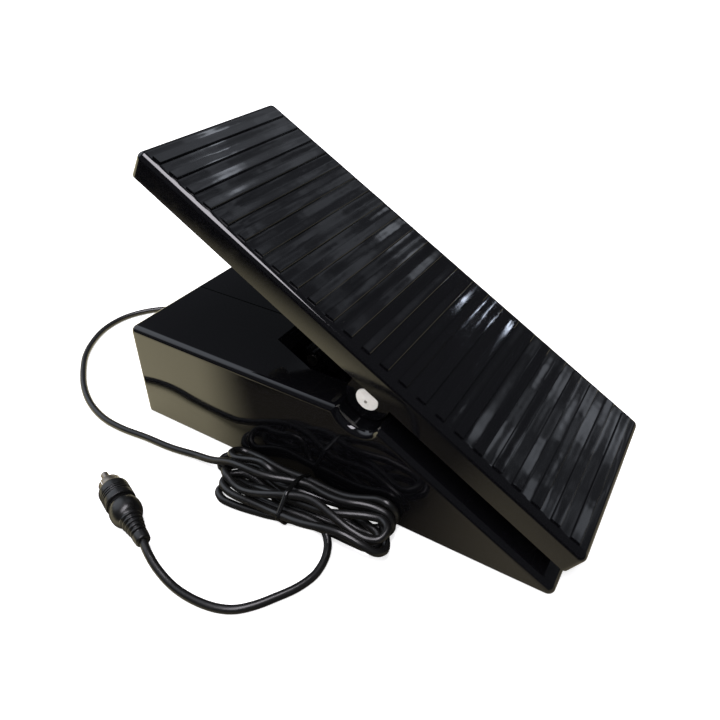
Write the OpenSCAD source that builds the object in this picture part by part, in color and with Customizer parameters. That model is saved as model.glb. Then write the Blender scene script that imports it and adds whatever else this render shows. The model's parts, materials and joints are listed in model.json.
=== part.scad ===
// Volume pedal: a rocking treadle on a two-half moulded base.  A toothed sector under the
// treadle turns the pinion of a potentiometer inside, and a thin cord ends in a phono plug.
// Millimetres.  +X is the player's right, +Y is toward the toe, +Z is up, z = 0 is the floor.
// The treadle is drawn in a frame of its own, level, with the pivot axis at its origin.

/* [Base] */
// Width over both moulded halves
base_w = 87.2; // [83:0.1:92]
// Length of the base, heel to toe
base_l = 205.3; // [201:0.1:211]
// Height of the flat top over the floor
base_h = 49.3; // [47:0.1:52]
// How far the toe face stands ahead of the pivot axis
pivot_to_base_toe = 122.5; // [119:0.1:125]
// Angle of the sloping heel part
slope_angle = 30.24; // [29:0.01:30.6]
// Wall thickness of the moulding
shell_wall = 2.5; // [2:0.1:3]
// Outer edge radius
edge_r = 3; // [2:0.1:3.4]
// Gap between the moulding and the floor, which the rubber feet bridge
shell_z = 1; // [0.6:0.1:1.3]
// Length of the solid nose at the heel
nose_l = 9; // [8:0.5:12]

/* [Pivot] */
// Height of the pivot axis over the flat top
pivot_rise = 2.4; // [1.5:0.1:3]
// Height of the sloping face over the pivot axis, square to the slope
slope_over = 0.24; // [0:0.02:0.4]
// Diameter of the nylon pivot pins
pin_d = 10; // [8:0.1:11]
// Diameter of the head on a pin's inner end
pin_head_d = 15; // [13:0.1:16]
// Distance of a pin's outer face from the middle
pin_reach = 35.5; // [34:0.1:37]
// Inner face of the ears that hold the pins
ear_in = 21; // [20:0.1:22]
// Thickness of the ears
ear_t = 4.2; // [3.5:0.1:5]
// Radius of the ears
ear_r = 9; // [8:0.1:9.2]
// Radius of the trough that the treadle's lugs turn in
trough_r = 10.2; // [10.1:0.1:10.8]
// Radius of the trough's lips
lip_r = 2.5; // [1.5:0.1:3]
// Radius of the treadle's lugs
lug_r = 9.5; // [8.5:0.1:9.5]

/* [Treadle] */
// Length of the treadle
treadle_l = 219.8; // [216:0.1:223]
// Width of the treadle
treadle_w = 81.6; // [80:0.1:83]
// Distance from the pivot axis to the treadle's toe end
pivot_to_toe = 126.2; // [123:0.1:128]
// Height of the treadle's top over the pivot axis
pivot_drop = 21.8; // [21:0.1:23]
// Depth of the skirt, from the top plane
skirt_h = 12; // [11.5:0.1:13]
// Thickness of the skirt
skirt_t = 2.4; // [2:0.1:2.8]
// Thickness of the top plate
plate_t = 2.6; // [2.2:0.1:3]
// Edge radius of the treadle
treadle_r = 2.75; // [2:0.05:3]
// Tilt at rest, heel down
rest_tilt = 30.85; // [30.7:0.01:31.4]
// Travel from heel down to toe down
travel = 30; // [28:0.5:30]

/* [Grip ribs] */
// Number of ribs across the treadle
rib_count = 24; // [20:1:24]
// Width of a rib at its foot
rib_w = 4.05; // [3.5:0.05:4.5]
// Height of a rib
rib_h = 0.9; // [0.6:0.05:1.2]
// Plain margin at the toe end
rib_margin_toe = 5.6; // [5:0.1:7]
// Plain margin at the heel end
rib_margin_heel = 5.25; // [5:0.05:7]
// Plain margin at the sides
rib_margin_side = 3.1; // [2.8:0.1:5]

/* [Drive opening] */
// Distance from the pivot axis to the opening's toe edge
open_toe_reach = 57.2; // [57:0.1:60]
// Half width at the toe edge
open_half_toe = 17.6; // [16:0.1:19]
// Half width where the flare ends
open_half_flare = 27.8; // [26.5:0.1:29]
// Length of the flare
open_flare_l = 25; // [22:0.5:28]
// Depth of the bevel at the toe edge
open_bevel = 5; // [3:0.1:5.5]

/* [Gears] */
// Gear module
gear_module = 1; // [0.9:0.05:1]
// Teeth that a whole sector gear would have
sector_teeth = 96; // [90:1:96]
// Teeth on the pinion
pinion_teeth = 12; // [12:1:13]
// Pressure angle
pressure_angle = 25; // [24:0.5:26]
// How far the pinion lies below the level of the pivot, seen from the pivot
drive_angle = 22; // [20:0.5:24]
// Face width of the sector
sector_t = 4; // [3:0.5:5]
// Face width of the pinion
pinion_t = 6; // [5:0.5:7]

/* [Potentiometer] */
// Diameter of the metal can
can_d = 16.5; // [16:0.1:18]
// Length of the can
can_l = 8.5; // [8:0.1:10]
// Diameter of the threaded bush
bush_d = 7; // [6.8:0.1:7.5]
// Diameter of the shaft
shaft_d = 6; // [5.5:0.1:6]

/* [Cord and plug] */
// Diameter of the cord
cord_d = 3.2; // [3:0.1:3.4]
// Diameter of the plug's body
plug_body_d = 12.2; // [12:0.1:12.4]
// Diameter of the boot at its widest
plug_boot_d = 12.6; // [12.4:0.1:13]
// Outer diameter of the plug's metal shell
plug_shell_d = 8.9; // [8.6:0.1:9.1]
// Diameter of the plug's centre pin
plug_pin_d = 3.2; // [3:0.1:3.2]

/* [Hidden] */
$fn = 48;
black = [0.03, 0.03, 0.035];
steel = [0.62, 0.63, 0.65];
eps = 0.1;

// Fits
press_clear = 0.01;
run_clear = 0.05;
screw_clear = 0.1;
stop_gap = 0.2;
plate_clear = 0.2;

// Frame: the pivot is placed so that the object without its cord is centred on the origin
pivot_h = base_h + pivot_rise;
heel_part = treadle_l - pivot_to_toe;
heel_reach = treadle_r + (heel_part - treadle_r) * cos(rest_tilt)
    + (pivot_drop - treadle_r) * sin(rest_tilt);
pivot_y = (heel_reach - pivot_to_base_toe) / 2;
base_half = base_w / 2;
base_toe = pivot_y + pivot_to_base_toe;
base_heel = base_toe - base_l;
heel_in = base_heel + nose_l;
ear_out = ear_in + ear_t;
shell_corners = [[base_toe - edge_r, -edge_r], [base_toe - edge_r, base_h - edge_r],
    [slope_y(base_h - edge_r, edge_r), base_h - edge_r],
    [base_heel + edge_r, slope_z(base_heel + edge_r, edge_r)]];

// Bottom plate, feet and screws
plate_z = shell_z + 0.5;
steel_t = 1.5;
plate_top = plate_z + steel_t;
foot_r = 7;
foot_edge = 0.6;
foot_x = 30;
foot_toe_y = base_toe - 27;
foot_heel_y = heel_in + 12;
screw_d = 2.8;
head_d = 5.5;
head_h = 1;
screw_l = 10;
post_r = 4;
post_x = 35;
post_heel_x = 34;
post_toe_in = 13;
post_mid_in = 77;
post_heel_back = 31;
post_spots = [[post_x, base_toe - post_toe_in], [post_x, base_toe - post_mid_in],
    [post_heel_x, pivot_y - post_heel_back]];
peg_d = 4;
peg_l = 6;
peg_boss_l = 16;
peg_under = 3;
peg_toe_in = 14;
peg_mid_in = 48;
peg_heel_y = pivot_y - 45.7;
peg_spots = [[base_toe - peg_toe_in, base_h - shell_wall - peg_under],
    [base_toe - peg_mid_in, base_h - shell_wall - peg_under],
    [peg_heel_y, slope_z(peg_heel_y, shell_wall + peg_under)]];

// Treadle
rib_pitch = (treadle_l - rib_margin_toe - rib_margin_heel - rib_w) / (rib_count - 1);
under_z = pivot_drop - plate_t;
skirt_z = pivot_drop - skirt_h;
lug_gap = 0.4;
lug_in = ear_out + lug_gap;
lug_out = pin_reach - 0.1;
rib_depth = 6;
rib_t = 1.6;
long_rib_x = 14;
boss_z = under_z - rib_depth;
bumper_d = 11;
bumper_h = 5.6;
bumper_toe_x = 14;
bumper_heel_x = 28;
bumper_toe_in = 24.7;
bumper_heel_in = 12.6;
bumper_lip_in = 15.8;
bumper_toe_y = pivot_to_toe - bumper_toe_in;
bumper_heel_y = max(-heel_part + bumper_heel_in, (base_heel - pivot_y) / cos(slope_angle) + bumper_lip_in);
end_tilt = rest_tilt - travel;
slope_skew = rest_tilt - slope_angle;
bumper_toe_z = (-pivot_rise - bumper_toe_y * sin(end_tilt)) / cos(end_tilt) + stop_gap;
bumper_heel_z = slope_over / cos(slope_skew) - bumper_heel_y * tan(slope_skew) + stop_gap;

// Gears
sector_r = gear_module * sector_teeth / 2;
pinion_r = gear_module * pinion_teeth / 2;
gear_addendum = 0.8 * gear_module;
gear_dedendum = 1.2 * gear_module;
tooth_w = gear_module * PI / 2 - 0.2;
sector_step = 360 / sector_teeth;
extra_teeth = 2;
sector_phase = -drive_angle - rest_tilt;
flange_t = 3;
flange_z = boss_z - flange_t;
flange_heel = 5;
flange_toe = 53;
flange_w = 18;
sector_screw_x = 5;
sector_screw_in = 5;
sector_screw_y = [flange_heel + sector_screw_in, flange_toe - sector_screw_in];
sector_window_r = 4.2;
screw_boss_r = 3.5;
pot_y = pivot_y + (sector_r + pinion_r) * cos(drive_angle);
pot_z = pivot_h - (sector_r + pinion_r) * sin(drive_angle);
bracket_x = 8;
bracket_w = 22;
bracket_rise = 8.7;
bracket_top = pot_z + bracket_rise;
bracket_foot_l = 16;
bracket_screw_x = bracket_x + 10;
bracket_screw_y = 7;
can_x = bracket_x + steel_t;
shaft_back = can_x + can_l - 2;

// Cord route on the floor, chosen by hand, and the plug's place
cord_z = cord_d / 2 + 0.02;
gland_x = 28;
gland_z = 10;
gland_l = 14;
gland_barrel_d = 7;
gland_flange_d = 10;
lead_route = [[28, base_toe + gland_l, gland_z], [28.5, 128.5, 8], [30.5, 138, 4], [32, 148.5, cord_z],
    [31, 158.5, cord_z], [26.5, 167.5, cord_z], [18, 176, cord_z], [6.5, 181.4, cord_z],
    [-6.8, 181.4, cord_z], [-19.1, 176.6, cord_z], [-30.4, 168.8, cord_z], [-40.7, 157.7, cord_z],
    [-49.2, 146.1, cord_z], [-55.9, 133, cord_z], [-59.9, 118.9, cord_z], [-60.6, 105.2, cord_z],
    [-59.2, 90.5, cord_z], [-58.3, 75.8, cord_z], [-57.1, 62, 3], [-56.5, 50.6, 6.6]];
tail_route = [[-61.9, -11.6, 4.9], [-67, -17, 2.6], [-74.2, -19.6, cord_z], [-80.9, -19.5, cord_z],
    [-87.6, -17.1, cord_z], [-94.3, -12.9, cord_z], [-100.4, -8.5, cord_z], [-105.4, -3.1, cord_z],
    [-108.4, 4.1, cord_z], [-109.7, 13.5, cord_z], [-109.5, 22.5, cord_z + 0.6], [-107.9, 31.4, cord_z + 2.4],
    [-105.5, 38.3, cord_z + 4], [-102.8, 43.6, cord_z + 4.7]];
plug_base = tail_route[len(tail_route) - 1];
plug_turn = atan2(42.1, 16.2);

// Hank of spare cord, tied in the middle
hank_h = 10.5;
hank_toe = [-59.4, 40.7, 12];
hank_mid = [-56, 5.9, 8];
hank_heel = [-54.4, -29.7, 9.4];
tie_w = 2.4;
tie_t = 1.2;

// Plug lengths along its axis, from the cord's end
boot_sleeve_l = 4.7;
boot_ring_pitch = 1.9;
boot_rings = 5;
boot_wide_l = 18.9;
boot_l = 23.8;
body_l = 11.8;
shell_l = 4.2;
pin_l = 6.1;

// ---------- helpers ----------

function slope_z(y, depth = 0) =
    pivot_h + (slope_over - depth + (y - pivot_y) * sin(slope_angle)) / cos(slope_angle);

function slope_y(z, depth = 0) =
    pivot_y + ((z - pivot_h) * cos(slope_angle) - slope_over + depth) / sin(slope_angle);

// A ball whose facets reach its full radius on all three axes
module ball(r) {
    rotate_extrude($fn = 32) polygon([for (a = [-90:11.25:90]) r * [cos(a), sin(a)]]);
}

// Extrudes a (y, z) outline along X
module along_x(x0, x1) {
    translate([x0, 0, 0]) rotate([90, 0, 90]) linear_extrude(x1 - x0) children();
}

// Turns a +Z shape to lie along +X at (y, z)
module rod_x(x, y, z) {
    translate([x, y, z]) rotate([0, 90, 0]) children();
}

module on_treadle() {
    translate([0, pivot_y, pivot_h]) rotate([rest_tilt, 0, 0]) children();
}

module left_side() {
    mirror([1, 0, 0]) children();
}

// ---------- base ----------

module half_outer() {
    intersection() {
        hull() for (s = [-1, 1], p = shell_corners)
            translate([s * (base_half - edge_r), p[0], p[1]]) ball(edge_r);
        translate([0, base_heel - eps, shell_z]) cube([base_w, base_l + 2 * eps, base_h]);
    }
}

module half_cavity() {
    along_x(-eps, base_half - shell_wall) polygon([
        [base_toe - shell_wall, 0],
        [base_toe - shell_wall, base_h - shell_wall],
        [slope_y(base_h - shell_wall, shell_wall), base_h - shell_wall],
        [heel_in, slope_z(heel_in, shell_wall)],
        [heel_in, 0]]);
}

// What stands inside the cavity: trough wall, ear web, screw posts and peg bosses
module half_ribs() {
    rod_x(ear_in, pivot_y, pivot_h) cylinder(r = trough_r + shell_wall, h = base_half - ear_in);
    translate([ear_in, pivot_y - ear_r, plate_top]) cube([ear_t, 2 * ear_r, base_h]);
    for (p = post_spots) {
        translate([p[0], p[1], plate_top]) cylinder(r = post_r, h = base_h);
        translate([p[0], p[1] - 1, plate_top]) cube([base_half - p[0], 2, base_h]);
    }
    for (p = peg_spots) rod_x(-eps, p[0], p[1]) cylinder(r = peg_d, h = peg_boss_l);
}

// The corner between a flat face and the trough, rounded by lip_r.  The arc laps a little over
// the trough's own, so that the two cross instead of only touching.
module trough_lip(over) {
    lap = 0.03;
    u = sqrt(pow(trough_r + lip_r, 2) - pow(lip_r - over, 2));
    difference() {
        polygon([[0, 0], [0, lip_r], [u, lip_r], [u, over - lip_r]]);
        translate([u, over - lip_r]) circle(lip_r + lap);
    }
}

module trough_cut() {
    along_x(ear_out, base_half + eps) translate([pivot_y, pivot_h]) {
        circle(trough_r);
        trough_lip(-pivot_rise);
        rotate(slope_angle) mirror([1, 0]) trough_lip(slope_over);
    }
    rod_x(base_half - edge_r, pivot_y, pivot_h) rotate_extrude() difference() {
        square([trough_r + edge_r, edge_r + eps]);
        translate([trough_r + edge_r, 0]) circle(edge_r);
    }
}

module opening_cut() {
    toe = pivot_y + open_toe_reach;
    flare = toe - open_flare_l;
    neck = pivot_y + trough_r + shell_wall;
    translate([0, 0, base_h - 9]) linear_extrude(20) polygon([
        [-eps, toe], [open_half_toe, toe], [open_half_flare, flare], [open_half_flare, neck],
        [ear_in, neck], [ear_in, pivot_y - ear_r], [-eps, pivot_y - ear_r]]);
}

// The bevelled lip along the opening's toe edge
module opening_lip() {
    toe = pivot_y + open_toe_reach;
    under = shell_wall * sqrt(2);
    along_x(0, open_half_toe) polygon([
        [toe, base_h], [toe - open_bevel, base_h - open_bevel],
        [toe - open_bevel, base_h - open_bevel - under], [toe, base_h - under]]);
}

// A fine groove along the joint between the halves
module seam_cut() {
    w = 0.3;
    deep = 0.5;
    translate([-eps, 0, base_h - deep]) cube([w + eps, base_toe, 1]);
    translate([-eps, base_toe - deep, shell_z]) cube([w + eps, 1, base_h]);
    translate([-eps, pivot_y, pivot_h]) rotate([slope_angle, 0, 0])
        translate([0, -base_l, slope_over - deep]) cube([w + eps, base_l - 20, 2]);
}

// One half of the base, drawn on the right side
module base_half_shape(pegs, gland) {
    difference() {
        union() {
            difference() {
                half_outer();
                difference() {
                    half_cavity();
                    half_ribs();
                }
                trough_cut();
                opening_cut();
            }
            rod_x(ear_in, pivot_y, pivot_h) cylinder(r = ear_r, h = ear_t);
            opening_lip();
            if (pegs) for (p = peg_spots) rod_x(-peg_l, p[0], p[1]) cylinder(d = peg_d, h = peg_l + 1);
        }
        rod_x(ear_in - eps, pivot_y, pivot_h) cylinder(d = pin_d + 2 * press_clear, h = ear_t + 2 * eps);
        for (p = post_spots)
            translate([p[0], p[1], 0]) cylinder(d = screw_d + screw_clear, h = plate_top + screw_l);
        if (!pegs) for (p = peg_spots)
            rod_x(-eps, p[0], p[1]) cylinder(d = peg_d + screw_clear, h = peg_l + 1);
        if (gland) translate([gland_x, base_toe + eps, gland_z]) rotate([90, 0, 0])
            cylinder(d = gland_barrel_d + screw_clear, h = shell_wall + 2 * eps);
        seam_cut();
    }
}

module base_half_left() {
    color(black) left_side() base_half_shape(true, false);
}

module base_half_right() {
    color(black) base_half_shape(false, true);
}

module bottom_plate() {
    y0 = heel_in + plate_clear;
    l = base_toe - shell_wall - plate_clear - y0;
    w = base_w - 2 * (shell_wall + plate_clear);
    color(steel) difference() {
        translate([-w / 2, y0, plate_z]) cube([w, l, steel_t]);
        for (s = [-1, 1], p = post_spots)
            translate([s * p[0], p[1], 0]) cylinder(d = screw_d + 4 * screw_clear, h = plate_top + eps);
        for (s = [-1, 1]) translate([bracket_screw_x, pot_y + s * bracket_screw_y, 0])
            cylinder(d = screw_d + screw_clear, h = plate_top + eps);
    }
}

// A pan-head screw, its head's bearing face at z = 0 and its shank upward
module screw(l) {
    cylinder(d = screw_d, h = l);
    translate([0, 0, -head_h]) cylinder(d = head_d, h = head_h);
}

module base_screws() {
    color(steel) for (s = [-1, 1], p = post_spots)
        translate([s * p[0], p[1], plate_z]) screw(screw_l);
}

// A round rubber foot under the plate
module foot(x, y) {
    color([0.06, 0.06, 0.06]) translate([x, y, 0]) rotate_extrude()
        polygon([[0, 0], [foot_r - foot_edge, 0], [foot_r, foot_edge], [foot_r, plate_z], [0, plate_z]]);
}

module foot_toe_left() {
    foot(-foot_x, foot_toe_y);
}

module foot_toe_right() {
    foot(foot_x, foot_toe_y);
}

module foot_heel_left() {
    foot(-foot_x, foot_heel_y);
}

module foot_heel_right() {
    foot(foot_x, foot_heel_y);
}

// ---------- pivot ----------

// White nylon pin, pushed outward through the ear into the treadle's lug
module pivot_pin() {
    head_t = 1.5;
    gate = [2.7, 1.1];
    color("white") difference() {
        rod_x(ear_in - head_t, pivot_y, pivot_h) {
            cylinder(d = pin_head_d, h = head_t);
            cylinder(d = pin_d, h = pin_reach - ear_in + head_t);
        }
        rod_x(pin_reach - 0.4, pivot_y + gate[1], pivot_h - gate[0]) cylinder(d = 0.9, h = 1);
    }
}

module pivot_pin_left() {
    left_side() pivot_pin();
}

module pivot_pin_right() {
    pivot_pin();
}

// ---------- potentiometer ----------

module pot_bracket() {
    color(steel) difference() {
        union() {
            for (size = [[steel_t, bracket_top - plate_top], [bracket_foot_l, steel_t]])
                translate([bracket_x, pot_y - bracket_w / 2, plate_top]) cube([size[0], bracket_w, size[1]]);
        }
        rod_x(bracket_x - eps, pot_y, pot_z) cylinder(d = bush_d + screw_clear, h = steel_t + 2 * eps);
        for (s = [-1, 1]) translate([bracket_screw_x, pot_y + s * bracket_screw_y, 0])
            cylinder(d = screw_d + 4 * screw_clear, h = bracket_top);
    }
}

module bracket_screws() {
    color(steel) for (s = [-1, 1])
        translate([bracket_screw_x, pot_y + s * bracket_screw_y, plate_top + steel_t])
            rotate([180, 0, 0]) screw(2 * steel_t - 0.2);
}

module pot_can(extra) {
    rod_x(can_x, pot_y, pot_z) cylinder(d = can_d, h = can_l + extra);
}

module pot_body() {
    bush_l = 6;
    color([0.7, 0.7, 0.66]) difference() {
        union() {
            pot_can(0);
            rod_x(can_x - bush_l, pot_y, pot_z) cylinder(d = bush_d, h = bush_l + 1);
        }
        rod_x(can_x - bush_l - eps, pot_y, pot_z)
            cylinder(d = shaft_d + 2 * run_clear, h = shaft_back + 0.2 - can_x + bush_l + eps);
    }
}

module pot_wafer() {
    color([0.35, 0.2, 0.1]) difference() {
        translate([can_x + 1.5, pot_y - 6.5, pot_z - 14]) cube([1.6, 13, 10]);
        pot_can(0);
    }
}

module pot_tabs() {
    color(steel) for (y = [-4, 0, 4])
        translate([can_x + 2, pot_y + y - 1, pot_z - 19]) cube([0.5, 2, 5]);
}

module pot_nut() {
    nut_t = 2;
    color(steel) rod_x(bracket_x - nut_t, pot_y, pot_z) difference() {
        cylinder(r = 5.8, h = nut_t, $fn = 6);
        translate([0, 0, -eps]) cylinder(d = bush_d + 2 * press_clear, h = nut_t + 2 * eps);
    }
}

module pot_shaft() {
    color([0.75, 0.75, 0.75]) {
        rod_x(-pinion_t / 2 - 0.5, pot_y, pot_z) cylinder(d = shaft_d, h = shaft_back + pinion_t / 2 + 0.5);
        rod_x(pinion_t / 2, pot_y, pot_z) cylinder(d = shaft_d + 1, h = 0.4);
    }
}

// ---------- gears ----------

function inv(a) = tan(a) * 180 / PI - a;

// Half of a tooth's angle at radius r, for a gear of pitch radius rp
function tooth_half(r, rp) =
    tooth_w / (2 * rp) * 180 / PI + inv(pressure_angle) - inv(acos(min(1, rp * cos(pressure_angle) / r)));

// One involute tooth, pointing along +X
module tooth(rp) {
    foot = rp - gear_dedendum;
    low = max(foot, rp * cos(pressure_angle) + 0.01);
    tip = rp + gear_addendum;
    steps = 4;
    flank = [for (i = [0:steps]) let (r = low + (tip - low) * i / steps) [r, tooth_half(r, rp)]];
    half = tooth_half(low, rp);
    polygon(concat(
        [[(foot - 0.3) * cos(half), -(foot - 0.3) * sin(half)]],
        [for (f = flank) f[0] * [cos(f[1]), -sin(f[1])]],
        [for (i = [steps:-1:0]) flank[i][0] * [cos(flank[i][1]), sin(flank[i][1])]],
        [[(foot - 0.3) * cos(half), (foot - 0.3) * sin(half)]]));
}

// The pinion's gaps face the sector's teeth on the line between the two axes
module pinion() {
    gap_angle = 180 - drive_angle;
    color([0.9, 0.9, 0.86]) along_x(-pinion_t / 2, pinion_t / 2) translate([pot_y, pot_z]) difference() {
        union() {
            circle(pinion_r - gear_dedendum);
            for (i = [0:pinion_teeth - 1])
                rotate(gap_angle + (i + 0.5) * 360 / pinion_teeth) tooth(pinion_r);
        }
        circle(d = shaft_d + 2 * press_clear);
    }
}

module gear_sector() {
    root_r = sector_r - gear_dedendum;
    low = sector_phase - (extra_teeth + 0.5) * sector_step;
    high = sector_phase + travel + (extra_teeth + 0.5) * sector_step;
    far = 1.3 * root_r;
    color([0.92, 0.92, 0.88]) on_treadle() {
        along_x(-sector_t / 2, sector_t / 2) {
            difference() {
                intersection() {
                    circle(root_r, $fn = 96);
                    polygon([[flange_heel, flange_z + eps], [2, 0], far * [cos(low), sin(low)],
                        far * [cos((low + high) / 2), sin((low + high) / 2)], far * [cos(high), sin(high)],
                        [flange_toe, flange_z + eps]]);
                }
                for (a = [low + 8, (low + high) / 2, high - 8])
                    rotate(a) translate([0.7 * root_r, 0]) circle(sector_window_r);
            }
            for (i = [-extra_teeth:round(travel / sector_step) + extra_teeth])
                rotate(sector_phase + i * sector_step) tooth(sector_r);
        }
        difference() {
            translate([-flange_w / 2, flange_heel, flange_z])
                cube([flange_w, flange_toe - flange_heel, flange_t]);
            for (y = sector_screw_y, s = [-1, 1]) translate([s * sector_screw_x, y, flange_z - eps])
                cylinder(d = screw_d + 4 * screw_clear, h = flange_t + 2 * eps);
        }
    }
}

module sector_screws() {
    color(steel) on_treadle() for (y = sector_screw_y, s = [-1, 1])
        translate([s * sector_screw_x, y, flange_z]) screw(flange_t + rib_depth);
}

// ---------- treadle ----------

module treadle_outer() {
    y0 = -heel_part + treadle_r;
    y1 = pivot_to_toe - treadle_r;
    x1 = treadle_w / 2 - treadle_r;
    intersection() {
        hull() for (x = [-x1, x1], y = [y0, y1], z = [skirt_z, pivot_drop - treadle_r])
            translate([x, y, z]) ball(treadle_r);
        translate([-treadle_w, -treadle_l, skirt_z]) cube([2 * treadle_w, 2 * treadle_l, skirt_h + eps]);
    }
}

// Grip ribs, flat on top with bevelled long edges
module grip_ribs() {
    span = treadle_w - 2 * rib_margin_side;
    bevel = 0.2;
    along_x(-span / 2, span / 2) for (i = [0:rib_count - 1])
        translate([pivot_to_toe - rib_margin_toe - i * rib_pitch, pivot_drop]) polygon([
            [0, -1], [0, rib_h - bevel], [-bevel, rib_h], [bevel - rib_w, rib_h],
            [-rib_w, rib_h - bevel], [-rib_w, -1]]);
}

// Stiffening ribs under the top plate
module under_ribs() {
    w = treadle_w - skirt_t;
    l = treadle_l - skirt_t;
    cross_step = l / 6;
    y0 = -heel_part + skirt_t / 2;
    for (s = [-1, 1]) translate([s * long_rib_x - rib_t / 2, y0, boss_z]) cube([rib_t, l, rib_depth + 1]);
    for (i = [1:5]) translate([-w / 2, y0 + i * cross_step - rib_t / 2, boss_z])
        cube([w, rib_t, rib_depth + 1]);
}

// A lug that turns on a pivot pin, with its gussets up to the plate
module lug() {
    foot = 13;
    along_x(lug_in, lug_out) {
        circle(lug_r);
        polygon([[-lug_r, 0], [lug_r, 0], [lug_r, lug_r / 2], [foot, under_z + 0.5],
            [-foot, under_z + 0.5], [-lug_r, lug_r / 2]]);
    }
}

module treadle() {
    inner_l = treadle_l - 2 * skirt_t;
    inner_w = treadle_w - 2 * skirt_t;
    color(black) on_treadle() difference() {
        union() {
            difference() {
                treadle_outer();
                translate([-inner_w / 2, -heel_part + skirt_t, skirt_z - 1])
                    cube([inner_w, inner_l, under_z - skirt_z + 1]);
            }
            grip_ribs();
            under_ribs();
            lug();
            left_side() lug();
            for (s = [-1, 1]) {
                post(s * bumper_toe_x, bumper_toe_y, bumper_toe_z);
                post(s * bumper_heel_x, bumper_heel_y, bumper_heel_z);
                for (y = sector_screw_y) translate([s * sector_screw_x, y, boss_z])
                    cylinder(r = screw_boss_r, h = rib_depth + 1);
            }
        }
        rod_x(-treadle_w, 0, 0) cylinder(d = pin_d + 2 * run_clear, h = 2 * treadle_w);
        for (s = [-1, 1], y = sector_screw_y)
            translate([s * sector_screw_x, y, boss_z - eps])
                cylinder(d = screw_d + screw_clear, h = rib_depth + 0.5);
    }
}

// A post under the plate that carries a rubber bumper
module post(x, y, z) {
    translate([x, y, z + bumper_h]) cylinder(d = bumper_d, h = under_z + 1 - z - bumper_h);
}

module bumper(x, y, z) {
    soft = 1.2;
    r = bumper_d / 2;
    color([0.05, 0.05, 0.05]) on_treadle() translate([x, y, z]) rotate_extrude()
        polygon([[0, 0], [r - soft, 0], [r, soft], [r, bumper_h], [0, bumper_h]]);
}

module bumper_toe_left() {
    bumper(-bumper_toe_x, bumper_toe_y, bumper_toe_z);
}

module bumper_toe_right() {
    bumper(bumper_toe_x, bumper_toe_y, bumper_toe_z);
}

module bumper_heel_left() {
    bumper(-bumper_heel_x, bumper_heel_y, bumper_heel_z);
}

module bumper_heel_right() {
    bumper(bumper_heel_x, bumper_heel_y, bumper_heel_z);
}

// ---------- cord ----------

// Strain relief through the toe wall: inner flange, barrel, collar and ringed tail
module cord_gland() {
    collar_t = 1.6;
    rings = 5;
    pitch = (gland_l - collar_t - 2) / rings;
    color(black) translate([gland_x, base_toe, gland_z]) rotate([-90, 0, 0]) {
        translate([0, 0, -shell_wall - 2]) cylinder(d = gland_flange_d, h = 2);
        translate([0, 0, -shell_wall]) cylinder(d = gland_barrel_d, h = shell_wall);
        cylinder(d = gland_flange_d, h = collar_t);
        cylinder(d1 = 6.4, d2 = 5, h = gland_l);
        for (i = [0:rings - 1]) translate([0, 0, collar_t + 0.4 + i * pitch])
            cylinder(d = 7.8 - 0.3 * i, h = pitch * 0.55);
    }
}

function unit(v) = v / norm(v);

// Catmull-Rom point between b and c
function curve_point(a, b, c, d, t) =
    0.5 * (2 * b + (c - a) * t + (2 * a - 5 * b + 4 * c - d) * t * t + (3 * b - a - 3 * c + d) * t * t * t);

// The route with steps points in each span
function smooth_route(p, steps) = let (n = len(p)) concat(
    [for (i = [0:n - 2], k = [0:steps - 1])
        curve_point(p[max(i - 1, 0)], p[i], p[i + 1], p[min(i + 2, n - 1)], k / steps)],
    [p[n - 1]]);

// Ring of points round centre c, square to direction dir, one of them straight below
function ring_points(c, dir, r, sides) = let (side = unit(cross(dir, [0, 0, 1])), up = cross(side, dir))
    [for (k = [0:sides - 1]) c + r * (cos(360 * k / sides) * side + sin(360 * k / sides) * up)];

module tube(p, d, sides = 8) {
    n = len(p);
    points = [for (i = [0:n - 1])
        each ring_points(p[i], unit(p[min(i + 1, n - 1)] - p[max(i - 1, 0)]), d / 2, sides)];
    walls = [for (i = [0:n - 2], k = [0:sides - 1]) let (a = i * sides + k, b = i * sides + (k + 1) % sides)
        each [[a, b, b + sides], [a, b + sides, a + sides]]];
    ends = [[for (k = [sides - 1:-1:0]) k], [for (k = [0:sides - 1]) (n - 1) * sides + k]];
    polyhedron(points, concat(walls, ends), convexity = 10);
}

module cord_lead() {
    color(black) tube(smooth_route(lead_route, 2), cord_d);
}

module cord_tail() {
    color(black) tube(smooth_route(tail_route, 2), cord_d);
}

// Outer shape of the hank, narrow where it is tied
module cord_hank() {
    color(black) linear_extrude(hank_h) for (end = [hank_toe, hank_heel]) hull() for (p = [end, hank_mid])
        translate([p[0], p[1]]) circle(p[2], $fn = 32);
}

// Twist tie over the hank's waist
module hank_tie() {
    w = 2 * (hank_mid[2] + tie_t);
    color(black) translate([hank_mid[0], hank_mid[1], 0]) rotate(-6) difference() {
        translate([-w / 2, -tie_w / 2, 0]) cube([w, tie_w, hank_h + tie_t]);
        translate([tie_t - w / 2, -tie_w, -eps]) cube([w - 2 * tie_t, 2 * tie_w, hank_h + eps]);
    }
}

// ---------- plug ----------

module on_plug(along) {
    translate(plug_base) rotate([0, 0, plug_turn]) rotate([0, 90, 0]) translate([0, 0, along]) children();
}

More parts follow.
